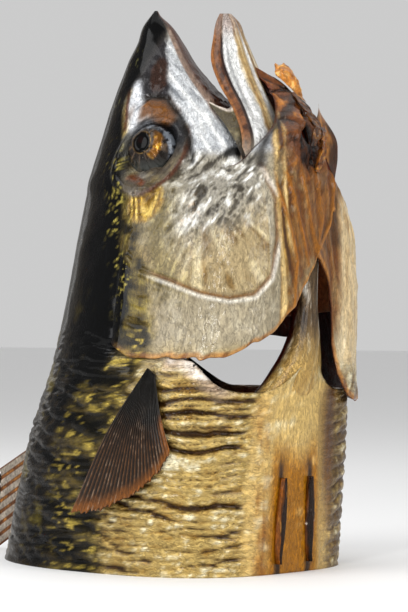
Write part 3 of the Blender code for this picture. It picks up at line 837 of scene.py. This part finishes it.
def left_edge(x, y):
    """Falls from the crossing straight down beside the isthmus to a hanging corner."""
    near = np.interp(
        y,
        (-3.6, 1.0, 4.6, 6.4, 7.6, 11.0, 16.0, 22.0),
        (80.4, 77.0, 72.0, 66.0, 57.0, 50.0, 45.0, 42.6),
    )
    return np.where(x > 26.0, near, 43.0 + 16.0 * ease(18.0, 11.0, x))


def make_cover(name, turns, edge_height, extra_lift, tuck, seed):
    heights = np.full(len(turns), 60.0)
    for _ in range(8):  # the edge is given by place, so its height settles in a few rounds
        heights = edge_height(*outline(turns, heights))
    edge = heights + 0.5 * noise(turns * 14, 0 * turns, 0 * turns, seed)
    slope = np.where(turns < 0, ease(1.1, 0.15, -turns), np.exp(-np.clip(turns, 0, 9) / 0.12))
    front = CHEEK_Z + (THROAT_TOP_Z - CHEEK_Z) * slope
    front = front + 2.5 * noise(turns * 5, 0 * turns, 0 * turns, seed + 5)
    # points down the inside, up the outside and round the free edge between them
    inward, outward = np.linspace(1, 0, 36), np.linspace(0, 1, 190)
    bend = np.linspace(0, 1, 7)[1:-1]
    share = np.concatenate([inward, 0 * bend, outward[:-1]])[None, :]
    rounding = 0.5 - 0.5 * np.cos(np.pi * bend)
    outer = np.concatenate([0 * inward, rounding, 1 + 0 * outward[:-1]])[None, :]
    droop = np.concatenate([0 * inward, np.sin(np.pi * bend), 0 * outward[:-1]])[None, :]
    turn = turns[:, None]
    ends = ease(0.0, 0.02, np.abs(turn - turns[0])) * ease(0.0, 0.02, np.abs(turn - turns[-1]))
    thick = (0.7 + 0.5 * ease(0.0, 0.08, share)) * (0.12 + 0.88 * ends)
    z = edge[:, None] + (front - edge)[:, None] * share - 0.35 * droop
    turn = np.broadcast_to(turn, z.shape)
    x, y = outline(turn, z)
    middle = along(OUTLINE, z)[..., 1]
    length = np.maximum(np.hypot(x - middle, y), 2.0)
    lift = 0.7 + extra_lift(y, z, turn)
    sunk = np.clip(ease(tuck, tuck + 0.25, np.abs(turn)) + ease(0.84, 1.0, share), 0.0, 1.0)
    relief = head_relief(x, y, z) + 0.25 * cloud(x / 14, y / 14, z / 8, seed + 1)
    relief = relief - 0.35 * ease(0.10, 0.0, share) * noise(turn * 9, 0 * z, 0 * z, seed + 2)
    hollow = ease(-0.45, -0.05, turn) * ease(1.0, 0.4, turn) * np.exp(-(((z - 112.0) / 7.0) ** 2))
    lift = lift - 3.0 * hollow
    offset = lift + (-2.4 - lift) * sunk + relief * (0.4 + 0.6 * outer) - thick * (1 - outer)
    grown = 1 + offset / length
    px, py = middle + (x - middle) * grown, y * grown
    paint, finish = skin_paint(px, py, z, relief)
    # the free edge is thin enough to glow orange; the inside is dark red-brown
    glow = ease(1.5, 0.3, z - edge[:, None]) * ease(1.7, 1.4, np.abs(turn))
    coat(paint, "#b07e3e", 0.75 * glow)
    coat(paint, "#70421a", 0.7 * glow * ease(0.0, 0.6, noise(turn * 22, 0 * z, 0 * z, seed + 3)))
    coat(paint, "#6a2c12", 1 - outer)
    coat(paint, "#2c0a04", (1 - outer) * ease(-0.2, 0.6, cloud(px / 6, py / 6, z / 9, seed + 4)))
    finish[..., 0] = finish[..., 0] * outer * (1 - glow)
    grid_piece(name, placed(px, py, z), paint, finish, SKIN, "smoked_skin", "fish")


def right_lift(y, z, turn):
    """A little more where it crosses over the left cover."""
    return 0.6 * ease(-0.12, 0.02, turn) * ease(124.0, 112.0, z)


def left_lift(y, z, turn):
    """The left cover stands open over the flank."""
    return ease(5.0, 14.0, y) * ease(2.4, 1.6, np.abs(turn)) * (1.8 - 1.9 * ease(84.0, 100.0, z))


make_cover("gill_cover_left", np.linspace(-0.05, 2.5, 230), left_edge, left_lift, 2.2, 101)
make_cover("gill_cover_right", np.linspace(-1.95, 0.10, 240), right_edge, right_lift, 1.6, 111)

# %% [markdown]
# ## Lower jaw
#
# The lower jaw is a thin-walled trough from throat to chin, with a silver stripe under its lip
# and dried folds along it.

# %% Lower jaw
# height, x of the rims, x of the keel, half width
JAW = (
    (100.0, 24.0, 34.0, 15.0),
    (108.0, 22.5, 31.0, 14.0),
    (116.0, 17.5, 26.0, 11.5),
    (124.0, 11.4, 21.5, 8.6),
    (130.0, 8.8, 18.8, 6.4),
    (136.0, 8.8, 16.2, 4.4),
    (140.5, 9.2, 14.2, 2.6),
    (142.4, 9.8, 12.4, 1.4),
)


def make_jaw():
    heights = np.linspace(100.0, 142.4, 130)[:, None]
    rim, keel, half = np.moveaxis(along(JAW, heights), -1, 0)
    outside, inside = np.linspace(-0.5, 0.5, 110) * math.pi, np.linspace(0.5, -0.5, 56) * math.pi
    arc = np.concatenate([outside, inside])[None, :]
    inner = np.concatenate([0 * outside, 1 + 0 * inside])[None, :]
    wall = np.minimum(2.0, 0.6 * np.minimum(half, keel - rim)) * inner
    z = heights + 0 * arc
    x = rim + (keel - rim - wall) * np.cos(arc)
    y = (half - wall) * np.sin(arc)
    # dried folds along the jaw: a lip above the silver stripe and long creases below it
    folds = np.sin(arc * 9 + 0.05 * z + 1.2 * noise(arc * 2, 0 * z, z / 14, 121))
    relief = (0.22 * folds + 0.3 * cloud(arc * 5, 0 * z, z / 9, 123)) * (1 - inner)
    relief = relief - 0.6 * ease(0.09, 0.0, np.abs(np.abs(arc) - 1.24)) * (1 - inner)
    grow = relief * ease(142.4, 139.0, z) / np.maximum(np.hypot(x - rim, y), 1.5)
    x, y = rim + (x - rim) * (1 + grow), y * (1 + grow)
    side = np.abs(arc)
    streak = cloud(arc * 12, 0 * z, z / 10, 125)
    small = cloud(x / 1.5, y / 1.5, z / 2, 127)
    paint = base_coat(z, "#b19a70")
    coat(paint, "#e0d6c0", 0.9 * ease(0.0, 0.6, streak))
    coat(paint, "#866437", 0.9 * ease(0.05, 0.6, -streak))
    silver = ease(0.72, 0.84, side + 0.05 * small) * ease(1.27, 1.20, side)
    silver = silver + 0.7 * ease(0.13, 0.06, np.abs(side - 0.42))
    coat(paint, "#d9d9d7", silver)
    coat(paint, "#ffffff", 0.8 * silver * ease(0.0, 0.6, streak))
    coat(paint, "#8e8f90", 0.7 * silver * ease(0.1, 0.7, -streak))
    lip = ease(1.24, 1.30, side)
    coat(paint, "#7d5538", lip)
    coat(paint, "#3c1d0e", 0.85 * lip * ease(-0.2, 0.5, small))
    # painted shade: a thin dark line in the groove under the lip
    coat(paint, "#2c120b", ease(0.07, 0.02, np.abs(side - 1.25)) * ease(140.0, 134.0, z))
    coat(paint, "#9c6a3a", 0.8 * ease(1.45, 1.52, side))
    tip = ease(134.0, 140.0, z)
    coat(paint, "#8f7a6e", 0.75 * tip)
    low = ease(112.0, 104.0, z)
    coat(paint, "#a9a294", 0.6 * low)
    coat(paint, "#6b4a35", inner)
    coat(paint, "#3a1c12", inner * ease(0.0, 0.6, small))
    finish = even_finish(z, 0.0, 0.0)
    finish[..., 0] = np.clip((0.12 + 0.55 * silver) * (1 - inner) * (1 - lip), 0, 1)
    finish[..., 1] = 0.34 + 0.06 * small
    grid_piece("lower_jaw", placed(x, y, z), paint, finish, SKIN, "smoked_skin", "fish")


make_jaw()


# %% [markdown]
# ## Mouth corners and isthmus
#
# A web of skin closes each mouth corner. It is sunk and dark, with a painted highlight along its
# top edge. The isthmus is the narrow strip of breast that still joins the throat to the belly
# between the two gill openings: streaked silver above, pale gold where it meets the belly, and
# dark red on its inner side.

# %% Skin of the mouth corners
def make_mouth_corner(side):
    """A curved web from the back of the upper jaw to the lower jaw's rim."""
    share, up = np.meshgrid(np.linspace(0, 1, 40), np.linspace(0, 1, 50))
    sag = np.sin(np.pi * share)
    z = 102.0 + (17.6 - 2.8 * sag) * up
    near, far = along(SKULL, z), along(JAW, z)
    x0 = near[..., 2] - 2.2
    x1 = far[..., 0] + 1.6
    x = x0 + (x1 - x0) * share
    wide = near[..., 3] * 0.80 + (far[..., 2] - 0.5 - near[..., 3] * 0.80) * ease(0, 1, share)
    y = wide - 1.0 * sag + 0.25 * cloud(x, z / 2, 0 * z, 131)
    small = cloud(x / 2, y / 2, z / 2, 133)
    paint = base_coat(z, "#5f5640")
    coat(paint, "#9a9070", 0.8 * ease(0.0, 0.6, small))
    coat(paint, "#1d1a14", 0.9 * ease(0.62, 0.85, share))
    coat(paint, "#2b2318", ease(110.0, 105.0, z))
    # painted highlight along the top edge of the web
    coat(paint, "#d9cfc4", 0.9 * ease(0.94, 0.98, up))
    finish = even_finish(z, 0.15, 0.3)
    faces = placed(x, side * y, z), placed(x, side * (y - 0.9), z)
    looks = paint, finish, SKIN, "smoked_skin", "fish"
    # the inner face gets half the paint, as painted shade
    sheet_piece(f"mouth_corner_{side}", *faces, *looks, inside=0.5)


for side in (-1, 1):
    make_mouth_corner(side)

# %% Isthmus
# height, middle x, half depth, half width
ISTHMUS = (
    (40.0, 32.0, 5.6, 15.0),
    (46.0, 34.0, 4.8, 12.0),
    (52.0, 34.6, 4.5, 8.6),
    (58.0, 34.9, 3.8, 6.0),
    (66.0, 35.3, 3.0, 3.9),
    (76.0, 36.2, 2.4, 2.8),
    (86.0, 37.0, 2.0, 3.6),
    (94.0, 37.4, 1.4, 5.0),
)


def make_isthmus():
    heights = np.linspace(40.0, 94.0, 160)[:, None]
    turn = np.linspace(0, 2 * math.pi, 72, endpoint=False)[None, :]
    middle, depth, half = np.moveaxis(along(ISTHMUS, heights), -1, 0)
    z = heights + 0 * turn
    folds = 0.30 * cloud(turn * 4, 0 * z, z / 9, 141) + 0.12 * cloud(turn * 9, 0 * z, z / 3, 143)
    folds = folds * np.sin(0.5 * turn)
    x = middle + (depth + folds) * np.cos(turn)
    y = (half + folds) * np.sin(turn)
    streak = cloud(x / 1.2, y / 0.9, z / 12, 145)
    paint = base_coat(z, "#6f5c44")
    coat(paint, "#d8d2c6", 0.9 * ease(0.05, 0.5, streak))
    coat(paint, "#241409", 0.9 * ease(0.05, 0.5, -streak))
    back = ease(0.2, -0.3, np.cos(turn)) + 0 * z
    coat(paint, "#4a1408", back)
    low = ease(64.0, 50.0, z)
    coat(paint, "#c8aa6c", 0.95 * low * (1 - back))
    coat(paint, "#e6dcba", 0.7 * low * (1 - back) * ease(0.0, 0.6, streak))
    coat(paint, "#9a7638", 0.5 * low * (1 - back) * ease(0.0, 0.6, -streak))
    finish = even_finish(z, 0.0, 0.24)
    finish[..., 0] = 0.4 * (1 - back)
    grid_piece("isthmus", placed(x, y, z), paint, finish, SKIN, "smoked_skin", "fish")


make_isthmus()

# %% [markdown]
# ## Eyes
#
# A dried eye keeps its clear bulge, but the iris under it has wrinkled: brown-grey below, a
# gold crescent towards the mouth, and a ring of dark blue silver round both. The pupil sits a
# little up and back of the middle.


# %% Eyes
def make_eye(name, side):
    whole_turn = np.linspace(0, 2 * math.pi, 96, endpoint=False)
    around, out = np.meshgrid(whole_turn, np.linspace(0.0, 1.0, 60))
    angle = np.pi * (0.002 + 0.996 * out)
    ex = EYE_RADIUS * np.sin(angle) * np.cos(around)
    ez = EYE_RADIUS * np.sin(angle) * np.sin(around)
    ey = EYE_BULGE * EYE_RADIUS * np.cos(angle)
    px, pz = ex + 1.2, ez - 2.4
    from_pupil, from_middle = np.hypot(px, pz), np.hypot(ex, ez)
    spin = np.arctan2(ez, ex)
    wrinkle = creases(ex / 2.4, ez / 2.4 + 0.6 * ex, 0 * ex, 151)
    rays = noise(np.arctan2(pz, px) * 9, from_pupil / 2, 0 * ex, 153)
    small = cloud(ex / 0.9, ez / 0.9, 0 * ex, 155)
    ey = ey - (0.28 * wrinkle + 0.10 * small) * ease(2.2, 3.2, from_pupil) * (ey > 0)
    ey = ey - 0.2 * ease(2.4, 1.6, from_pupil) * (ey > 0)
    paint = base_coat(ex, "#281c14")
    coat(paint, "#6d5c4a", 0.7 * ease(0.1, 0.7, rays))
    coat(paint, "#140d09", 0.85 * ease(0.0, 0.6, -rays + 0.5 * wrinkle))
    crescent = ease(1.4, 0.6, np.abs(from_pupil - 4.6)) * ease(1.2, 0.6, np.abs(spin - 0.2))
    coat(paint, "#7a541a", crescent)
    coat(paint, "#c09538", 0.8 * crescent * ease(0.0, 0.5, small + 0.4 * rays))
    # a dark blue ring round the iris, with painted silver glints
    ring = ease(5.7, 6.2, from_middle)
    coat(paint, "#20242b", ring)
    coat(paint, "#7b8087", ring * ease(0.25, 0.55, small + 0.4 * np.cos(spin - 0.8)) * 0.8)
    low = ease(-1.2, -4.2, ez)
    coat(paint, "#4e5350", 0.6 * low)
    ring = ease(3.1, 2.85, from_pupil)
    coat(paint, "#75603c", ring)
    coat(paint, "#2a170b", 0.85 * ring * ease(-0.3, 0.5, rays))
    coat(paint, "#020101", ease(2.75, 2.55, from_pupil))
    coat(paint, "#2c0a04", 0.6 * ease(1.2, 0.5, np.hypot(px + 0.6, pz - 0.7)))
    finish = even_finish(ex, 0.0, 0.16)
    finish[..., 0] = 0.5 * crescent + 0.3 * ease(5.7, 6.2, from_middle)
    finish[..., 0] += ease(3.0, 2.7, from_pupil)
    x0, y0 = twisted(EYE_CENTRE[0], side * EYE_CENTRE[1], EYE_CENTRE[2])
    points = np.stack([x0 + ex, y0 + side * ey, EYE_CENTRE[2] + ez], axis=-1)
    grid_piece(name, points, paint, finish, EYE, "dried_eye", name)


make_eye("eye_right", -1)
make_eye("eye_left", 1)

# %% [markdown]
# ## Fins
#
# Every fin is a fan of rays with dried skin between them: thick on the rays, thin and pale
# between, frayed at the rim. Each is a closed sheet whose two faces meet all round.


# %% Fan sheets
def flank(x, z, side):
    """Y of the trunk's surface where its X and Z are these, found in a few rounds."""
    back, widest, belly, half, back_power, belly_power = np.moveaxis(along(OUTLINE, z), -1, 0)
    turn = np.radians(TRUNK_TWIST) * ease(62.0, 36.0, z)
    y = side * half
    for _ in range(6):
        plain_x = x * np.cos(turn) + y * np.sin(turn)
        reach = np.where(plain_x > widest, belly - widest, widest - back)
        power = np.where(plain_x > widest, belly_power, back_power)
        share = np.clip(np.abs((plain_x - widest) / reach), 0.0, 0.98)
        plain_y = side * half * (1 - share**power) ** (1 / power)
        y = (plain_y + x * np.sin(turn)) / np.cos(turn)
    return y


def belly_x(y, z, most):
    """X of the belly's surface above this Y and Z; most is the largest share of the half width."""
    _, widest, belly, half, _, power = np.moveaxis(along(OUTLINE, z), -1, 0)
    share = np.clip(np.abs(y) / half, 0.0, most)
    return widest + (belly - widest) * (1 - share**power) ** (1 / power)


def make_pectoral(name, side):
    fan, reach = np.meshgrid(np.linspace(0.0, 1.0, 190), np.linspace(0.0, 1.0, 90))
    ray = np.cos(2 * np.pi * 24 * fan + 1.5 * noise(fan * 5, 0 * fan, 0 * fan, 160))
    angle = np.radians(239.0 + 48.0 * fan)
    fray = 0.5 * noise(fan * 40, 0 * fan, 0 * fan, 161) + 0.3 * ray
    length = 42.0 - 22.6 * fan + fray * reach**3
    root_z = 51.5 if side < 0 else COLLAR_Z - 1.5
    x = 10.5 + 2.4 * fan + length * reach * np.cos(angle)
    z = root_z - 1.5 * fan + length * reach * np.sin(angle)
    y = flank(x, z, side)
    stand = 1.1 + 2.2 * reach * (1 - 0.6 * fan) + 0.10 * ray * ease(0.0, 0.3, reach)
    stand = stand + 0.5 * noise(fan * 3, reach * 2, 0 * fan, 163) * reach
    ends = ease(0.0, 0.02, fan) * ease(1.0, 0.98, fan)
    half = (0.42 - 0.24 * reach) * (0.8 + 0.2 * ray) * ends + 0.03
    small = cloud(x / 1.2, y / 1.2, z / 1.2, 165)
    paint = base_coat(x, "#0e0d0d")
    coat(paint, "#221f1c", 0.8 * ease(0.0, 0.8, ray))
    brown = ease(0.30, 0.80, reach + 0.12 * small + 0.12 * (1 - fan) - 0.16 * ease(0.4, 1.0, fan))
    coat(paint, "#3c2817", 0.9 * brown)
    coat(paint, "#6b4a2a", 0.7 * brown * ease(0.1, 0.9, ray + 0.5 * small))
    coat(paint, "#14100c", 0.8 * brown * ease(-0.1, -0.8, ray))
    rim = np.maximum(ease(0.86, 0.99, reach), ease(0.88, 0.99, fan) * ease(0.45, 0.7, reach))
    coat(paint, "#8a5820", 0.85 * rim)
    # a painted pale highlight along the crests of the rays
    ray_highlight = ease(0.4, 0.9, ray) * ease(0.1, 0.5, small) * ease(0.2, 0.5, reach)
    coat(paint, "#b7aa9c", 0.3 * ray_highlight)
    finish = even_finish(x, 0.1, 0.34)
    outer = np.stack([x, y + side * (stand + half), z], axis=-1)
    inner = np.stack([x, y + side * (stand - half), z], axis=-1)
    sheet_piece(name, outer, inner, paint, finish, FIN, "dark_fin", name)


def make_dorsal():
    root, reach = np.meshgrid(np.linspace(0.0, 1.0, 150), np.linspace(0.0, 1.0, 60))
    ray = np.cos(2 * np.pi * 7 * root)
    root_z = 38.0 - 25.0 * root
    back = along(OUTLINE, root_z)[..., 0]
    lean = np.radians(212.0 + 6.0 * root)
    length = 30.0 - 9.0 * root - 2.6 * (0.5 - 0.5 * ray) * ease(0.4, 1.0, reach)
    length = np.minimum(length, (root_z - 0.6) / -np.sin(lean))
    x = back + 1.5 + (length + 1.6) * reach * np.cos(lean)
    z = root_z - 1.0 + (length - 0.5) * reach * np.sin(lean) + 1.0 * (1 - reach)
    z = np.maximum(z, 0.4)
    ends = ease(0, 0.02, root) * ease(1, 0.98, root)
    half = (0.62 - 0.34 * reach) * (0.55 + 0.45 * ray) * ends + 0.04
    curve = -6.0 * reach
    small = cloud(x / 1.5, z / 1.5, 0 * x, 171)
    paint = base_coat(x, "#a0968a")
    coat(paint, "#6a4018", ease(0.0, 0.7, ray))
    coat(paint, "#b07a38", 0.7 * ease(0.5, 0.95, ray) * ease(-0.2, 0.5, small))
    coat(paint, "#3a1c0c", 0.6 * ease(0.3, 0.0, reach))
    finish = even_finish(x, 0.0, 0.36)
    outer = placed(x, curve - half, z)
    inner = placed(x, curve + half, z)
    sheet_piece("dorsal_fin", outer, inner, paint, finish, FIN, "amber_fin", "dorsal_fin")


def make_pelvic(name, side):
    across, reach = np.meshgrid(np.linspace(-1.0, 1.0, 40), np.linspace(0.0, 1.0, 90))
    z = 24.0 - 21.5 * reach
    half = 1.5 * np.sin(math.pi * np.clip(0.10 + 0.84 * reach, 0, 1)) ** 0.7
    y = side * (5.0 + 0.8 * reach) + half * across + 0.3 * noise(0 * z, 0 * z, z / 5, 181)
    x = belly_x(y, z, 0.999)
    fold = 0.18 * np.cos(across * 9 + 2 * noise(0 * z, 0 * z, z / 4, 183))
    small = cloud(x / 1.2, y / 0.8, z / 4, 185)
    paint = base_coat(x, "#84500f")
    coat(paint, "#1e0d06", 0.95 * ease(0.95, 0.5, np.abs(across + 0.25 * side + 0.4 * small)))
    coat(paint, "#d9a04a", 0.7 * ease(0.3, 0.8, small))
    # painted white glints on the left pelvic fin
    glint_spots = cloud(x / 0.8, y / 0.8, z / 0.8, 187)
    coat(paint, "#f4efe6", 0.9 * ease(0.55, 0.75, glint_spots) * ease(0.35, 0.6, reach) * (side > 0))
    finish = even_finish(x, 0.1, 0.16)
    rise = np.maximum(1.5 - 0.9 * across**2 + fold, 0.35)
    outer = placed(x + rise, y, z)
    inner = placed(x - 0.5, y, z)
    sheet_piece(name, outer, inner, paint, finish, FIN, "dark_fin", name)


make_dorsal()
for side, name in ((-1, "right"), (1, "left")):
    make_pectoral(f"pectoral_fin_{name}", side)
    make_pelvic(f"pelvic_fin_{name}", side)

# %% [markdown]
# ## Torn flesh at the throat
#
# Where the throat was cut, an orange scrap of gill flesh stands up in front and two brown
# shreds curl on the membrane below it. Behind it stands the brown tip of the left membrane.


# %% Scrap and shreds
def make_scrap():
    around, up = np.meshgrid(np.linspace(0, 2 * math.pi, 90, endpoint=False), np.linspace(0, 1, 70))
    swell = np.sin(math.pi * (0.03 + 0.94 * up)) ** 0.4 * (1 + 0.14 * np.sin(3 * around + 5 * up))
    swell = swell * (0.85 + 0.45 * ease(0.3, 0.8, up))
    z = 119.6 + 9.4 * up + 0.5 * np.cos(2 * around)
    x = 30.6 - 5.4 * up + 1.9 * swell * np.cos(around)
    x = np.maximum(x, along(OUTLINE, z)[..., 2] + 0.9)
    y = 0.5 + 1.0 * up + 3.2 * swell * np.sin(around)
    lump = 0.55 * cloud(x / 1.6, y / 1.6, z / 1.6, 191)
    x, y = x + lump * np.cos(around), y + lump * np.sin(around)
    small = cloud(x / 1.1, y / 1.1, z / 1.1, 193)
    paint = base_coat(x, "#b98138")
    coat(paint, "#e4b973", 0.8 * ease(0.0, 0.6, small + 0.6 * lump))
    coat(paint, "#8c5a1c", 0.8 * ease(0.1, 0.6, -small - 0.5 * lump))
    finish = even_finish(x, 0.0, 0.30)
    points = placed(x, y, z)
    grid_piece("throat_scrap", points, paint, finish, FLESH, "torn_flesh", "throat_scrap")


def make_shred(name, base, tip, wide, curl, colours, seed):
    """A ribbon from base to tip, given as (y, z) on the throat, that lifts and curls forward."""
    across, up = np.meshgrid(np.linspace(-1, 1, 46), np.linspace(0, 1, 80))
    bend = 0.9 * noise(up * 3, 0 * up, 0 * up, seed)
    ragged = 1 + 0.3 * noise(up * 5, across, 0 * up, seed + 1)
    half = wide * np.sin(np.pi * (0.06 + 0.88 * up)) ** 0.5 * ragged
    y = base[0] + (tip[0] - base[0]) * up + bend + half * across
    z = base[1] + (tip[1] - base[1]) * up + 0.3 * half * across * np.sin(3 * up)
    x = belly_x(y, z, 0.98) + 0.9 + curl * np.sin(np.pi * up) * across**2
    x = x + 0.5 * cloud(y, z, 0 * z, seed + 2)
    thick = 0.5 * (1 - across**2) + 0.12
    small = cloud(y / 1.3, z / 1.3, 0 * z, seed + 3)
    paint = base_coat(x, colours[0])
    coat(paint, colours[1], 0.85 * ease(0.0, 0.6, small))
    coat(paint, colours[2], 0.85 * ease(0.1, 0.6, -small))
    finish = even_finish(x, 0.0, 0.24)
    outer = placed(x + thick, y, z)
    inner = placed(x - thick, y, z)
    sheet_piece(name, outer, inner, paint, finish, FLESH, "torn_flesh", "fish")


def make_leaf():
    """The brown tip of the left gill membrane, standing up behind the throat."""
    across, up = np.meshgrid(np.linspace(0, 1, 40), np.linspace(0, 1, 80))
    z = 98.0 + 20.8 * up
    right = 39.4 - 4.9 * ease(0.45, 1.0, up) ** 1.2 - 0.8 * ease(0.35, 0.0, up)
    left = 31.0 + 3.4 * ease(0.3, 1.0, up)
    u = left + (right - left) * across
    depth = 9.0 - 4.0 * across + 1.0 * np.sin(np.pi * up)
    along_leaf, through = math.cos(VIEW), 0.5  # the leaf stands square to the camera's view
    x = u * along_leaf + depth * through
    y = u * through - depth * along_leaf
    thick = 0.35 * np.sqrt(np.clip(1 - (2 * across - 1) ** 2, 0, 1)) * ease(1.0, 0.95, up) + 0.03
    streak = cloud(across * 5, 0 * z, z / 7, 221)
    paint = base_coat(x, "#76522a")
    coat(paint, "#a9783a", 0.8 * ease(0.0, 0.6, streak))
    coat(paint, "#3a2413", 0.85 * ease(0.0, 0.7, -streak + 0.8 * ease(0.5, 1.0, across)))
    finish = even_finish(x, 0.0, 0.3)
    outer = np.stack([x + 0.5 * thick, y - 0.87 * thick, z], axis=-1)
    inner = np.stack([x - 0.5 * thick, y + 0.87 * thick, z], axis=-1)
    sheet_piece("membrane_tip", outer, inner, paint, finish, FLESH, "smoked_skin", "fish")


make_scrap()
make_leaf()
tan_brown = ("#835420", "#b5853c", "#45260e")
dark_brown = ("#5c3a1c", "#936a34", "#28140c")
make_shred("throat_shred_low", (-4.0, 100.5), (0.5, 112.5), 1.7, 0.9, tan_brown, 201)
make_shred("throat_shred_high", (-6.5, 107.0), (-2.0, 121.5), 1.6, 0.6, dark_brown, 211)

# %% [markdown]
# ## Light, floor and camera
#
# Two large soft lamps in front, one on each side, spread broad highlights over the crumples. A
# narrow strip between them adds the sharp wet glints. One lamp above and a faint one behind part
# the fish from the ground. The camera is long and level with the gill covers.

# %% Stage
RIGHT = Vector((math.cos(VIEW), math.sin(VIEW), 0.0))
TOWARDS = Vector((math.sin(VIEW), -math.cos(VIEW), 0.0))
AIM = Vector((0.0, 0.0, 0.075))  # half way up the fish
FLOOR_HALF = 3.0  # metres
FLOOR_WHITE, WORLD_STRENGTH = 0.84, 0.6
SENSOR_MM, LENS_MM = 36.0, 158.4
CAMERA_RIGHT, CAMERA_AWAY, CAMERA_UP = 0.00494, 0.70, 0.0668  # metres


def from_view(right, towards, up):
    """A place given in metres to the right of the fish, towards the camera and up."""
    return RIGHT * right + TOWARDS * towards + Vector((0, 0, up))


def softbox(name, place, size, watts):
    """A rectangular lamp of this width and height in metres, turned to the fish."""
    lamp = bpy.data.lights.new(name, "AREA")
    lamp.shape = "RECTANGLE"
    lamp.size, lamp.size_y = size
    lamp.energy = watts
    holder = bpy.data.objects.new(name, lamp)
    holder.location = place
    holder.rotation_euler = (AIM - place).to_track_quat("-Z", "Y").to_euler()
    bpy.context.scene.collection.objects.link(holder)


softbox("key_left", from_view(-0.45, 0.30, 0.40), (0.35, 0.55), 2.4)
softbox("key_right", from_view(0.42, 0.45, 0.32), (0.30, 0.45), 2.2)
softbox("overhead", from_view(0.0, -0.10, 0.62), (0.6, 0.4), 1.0)
softbox("glint", from_view(-0.16, 0.50, 0.22), (0.03, 0.30), 0.8)
softbox("rim_back", from_view(-0.30, -0.45, 0.30), (0.12, 0.5), 0.2)

floor_mesh = bpy.data.meshes.new("floor")
ground = [(x * FLOOR_HALF, y * FLOOR_HALF, 0) for x, y in ((-1, -1), (1, -1), (1, 1), (-1, 1))]
floor_mesh.from_pydata(ground, [], [(0, 1, 2, 3)])
floor = bpy.data.objects.new("floor", floor_mesh)
bpy.context.scene.collection.objects.link(floor)
plain = bpy.data.materials.new("pale_matte_floor")
plain.use_nodes = True
matte = plain.node_tree.nodes["Principled BSDF"].inputs
matte["Base Color"].default_value = (FLOOR_WHITE, FLOOR_WHITE, FLOOR_WHITE, 1)
matte["Roughness"].default_value = 0.6
floor_mesh.materials.append(plain)

world = bpy.data.worlds.new("white_studio")
bpy.context.scene.world = world
world.use_nodes = True
glow = world.node_tree.nodes["Background"].inputs
glow["Color"].default_value = (1, 1, 1, 1)
glow["Strength"].default_value = WORLD_STRENGTH

camera_data = bpy.data.cameras.new("camera")
camera_data.sensor_width = SENSOR_MM
camera_data.lens = LENS_MM
camera = bpy.data.objects.new("camera", camera_data)
camera.location = from_view(CAMERA_RIGHT, CAMERA_AWAY, CAMERA_UP)
camera.rotation_euler = (math.radians(90.0), 0.0, VIEW)
bpy.context.scene.collection.objects.link(camera)
bpy.context.scene.camera = camera
bpy.context.scene.view_settings.view_transform = "Standard"
print("lamps", len(bpy.data.lights), "and a", LENS_MM, "mm lens")
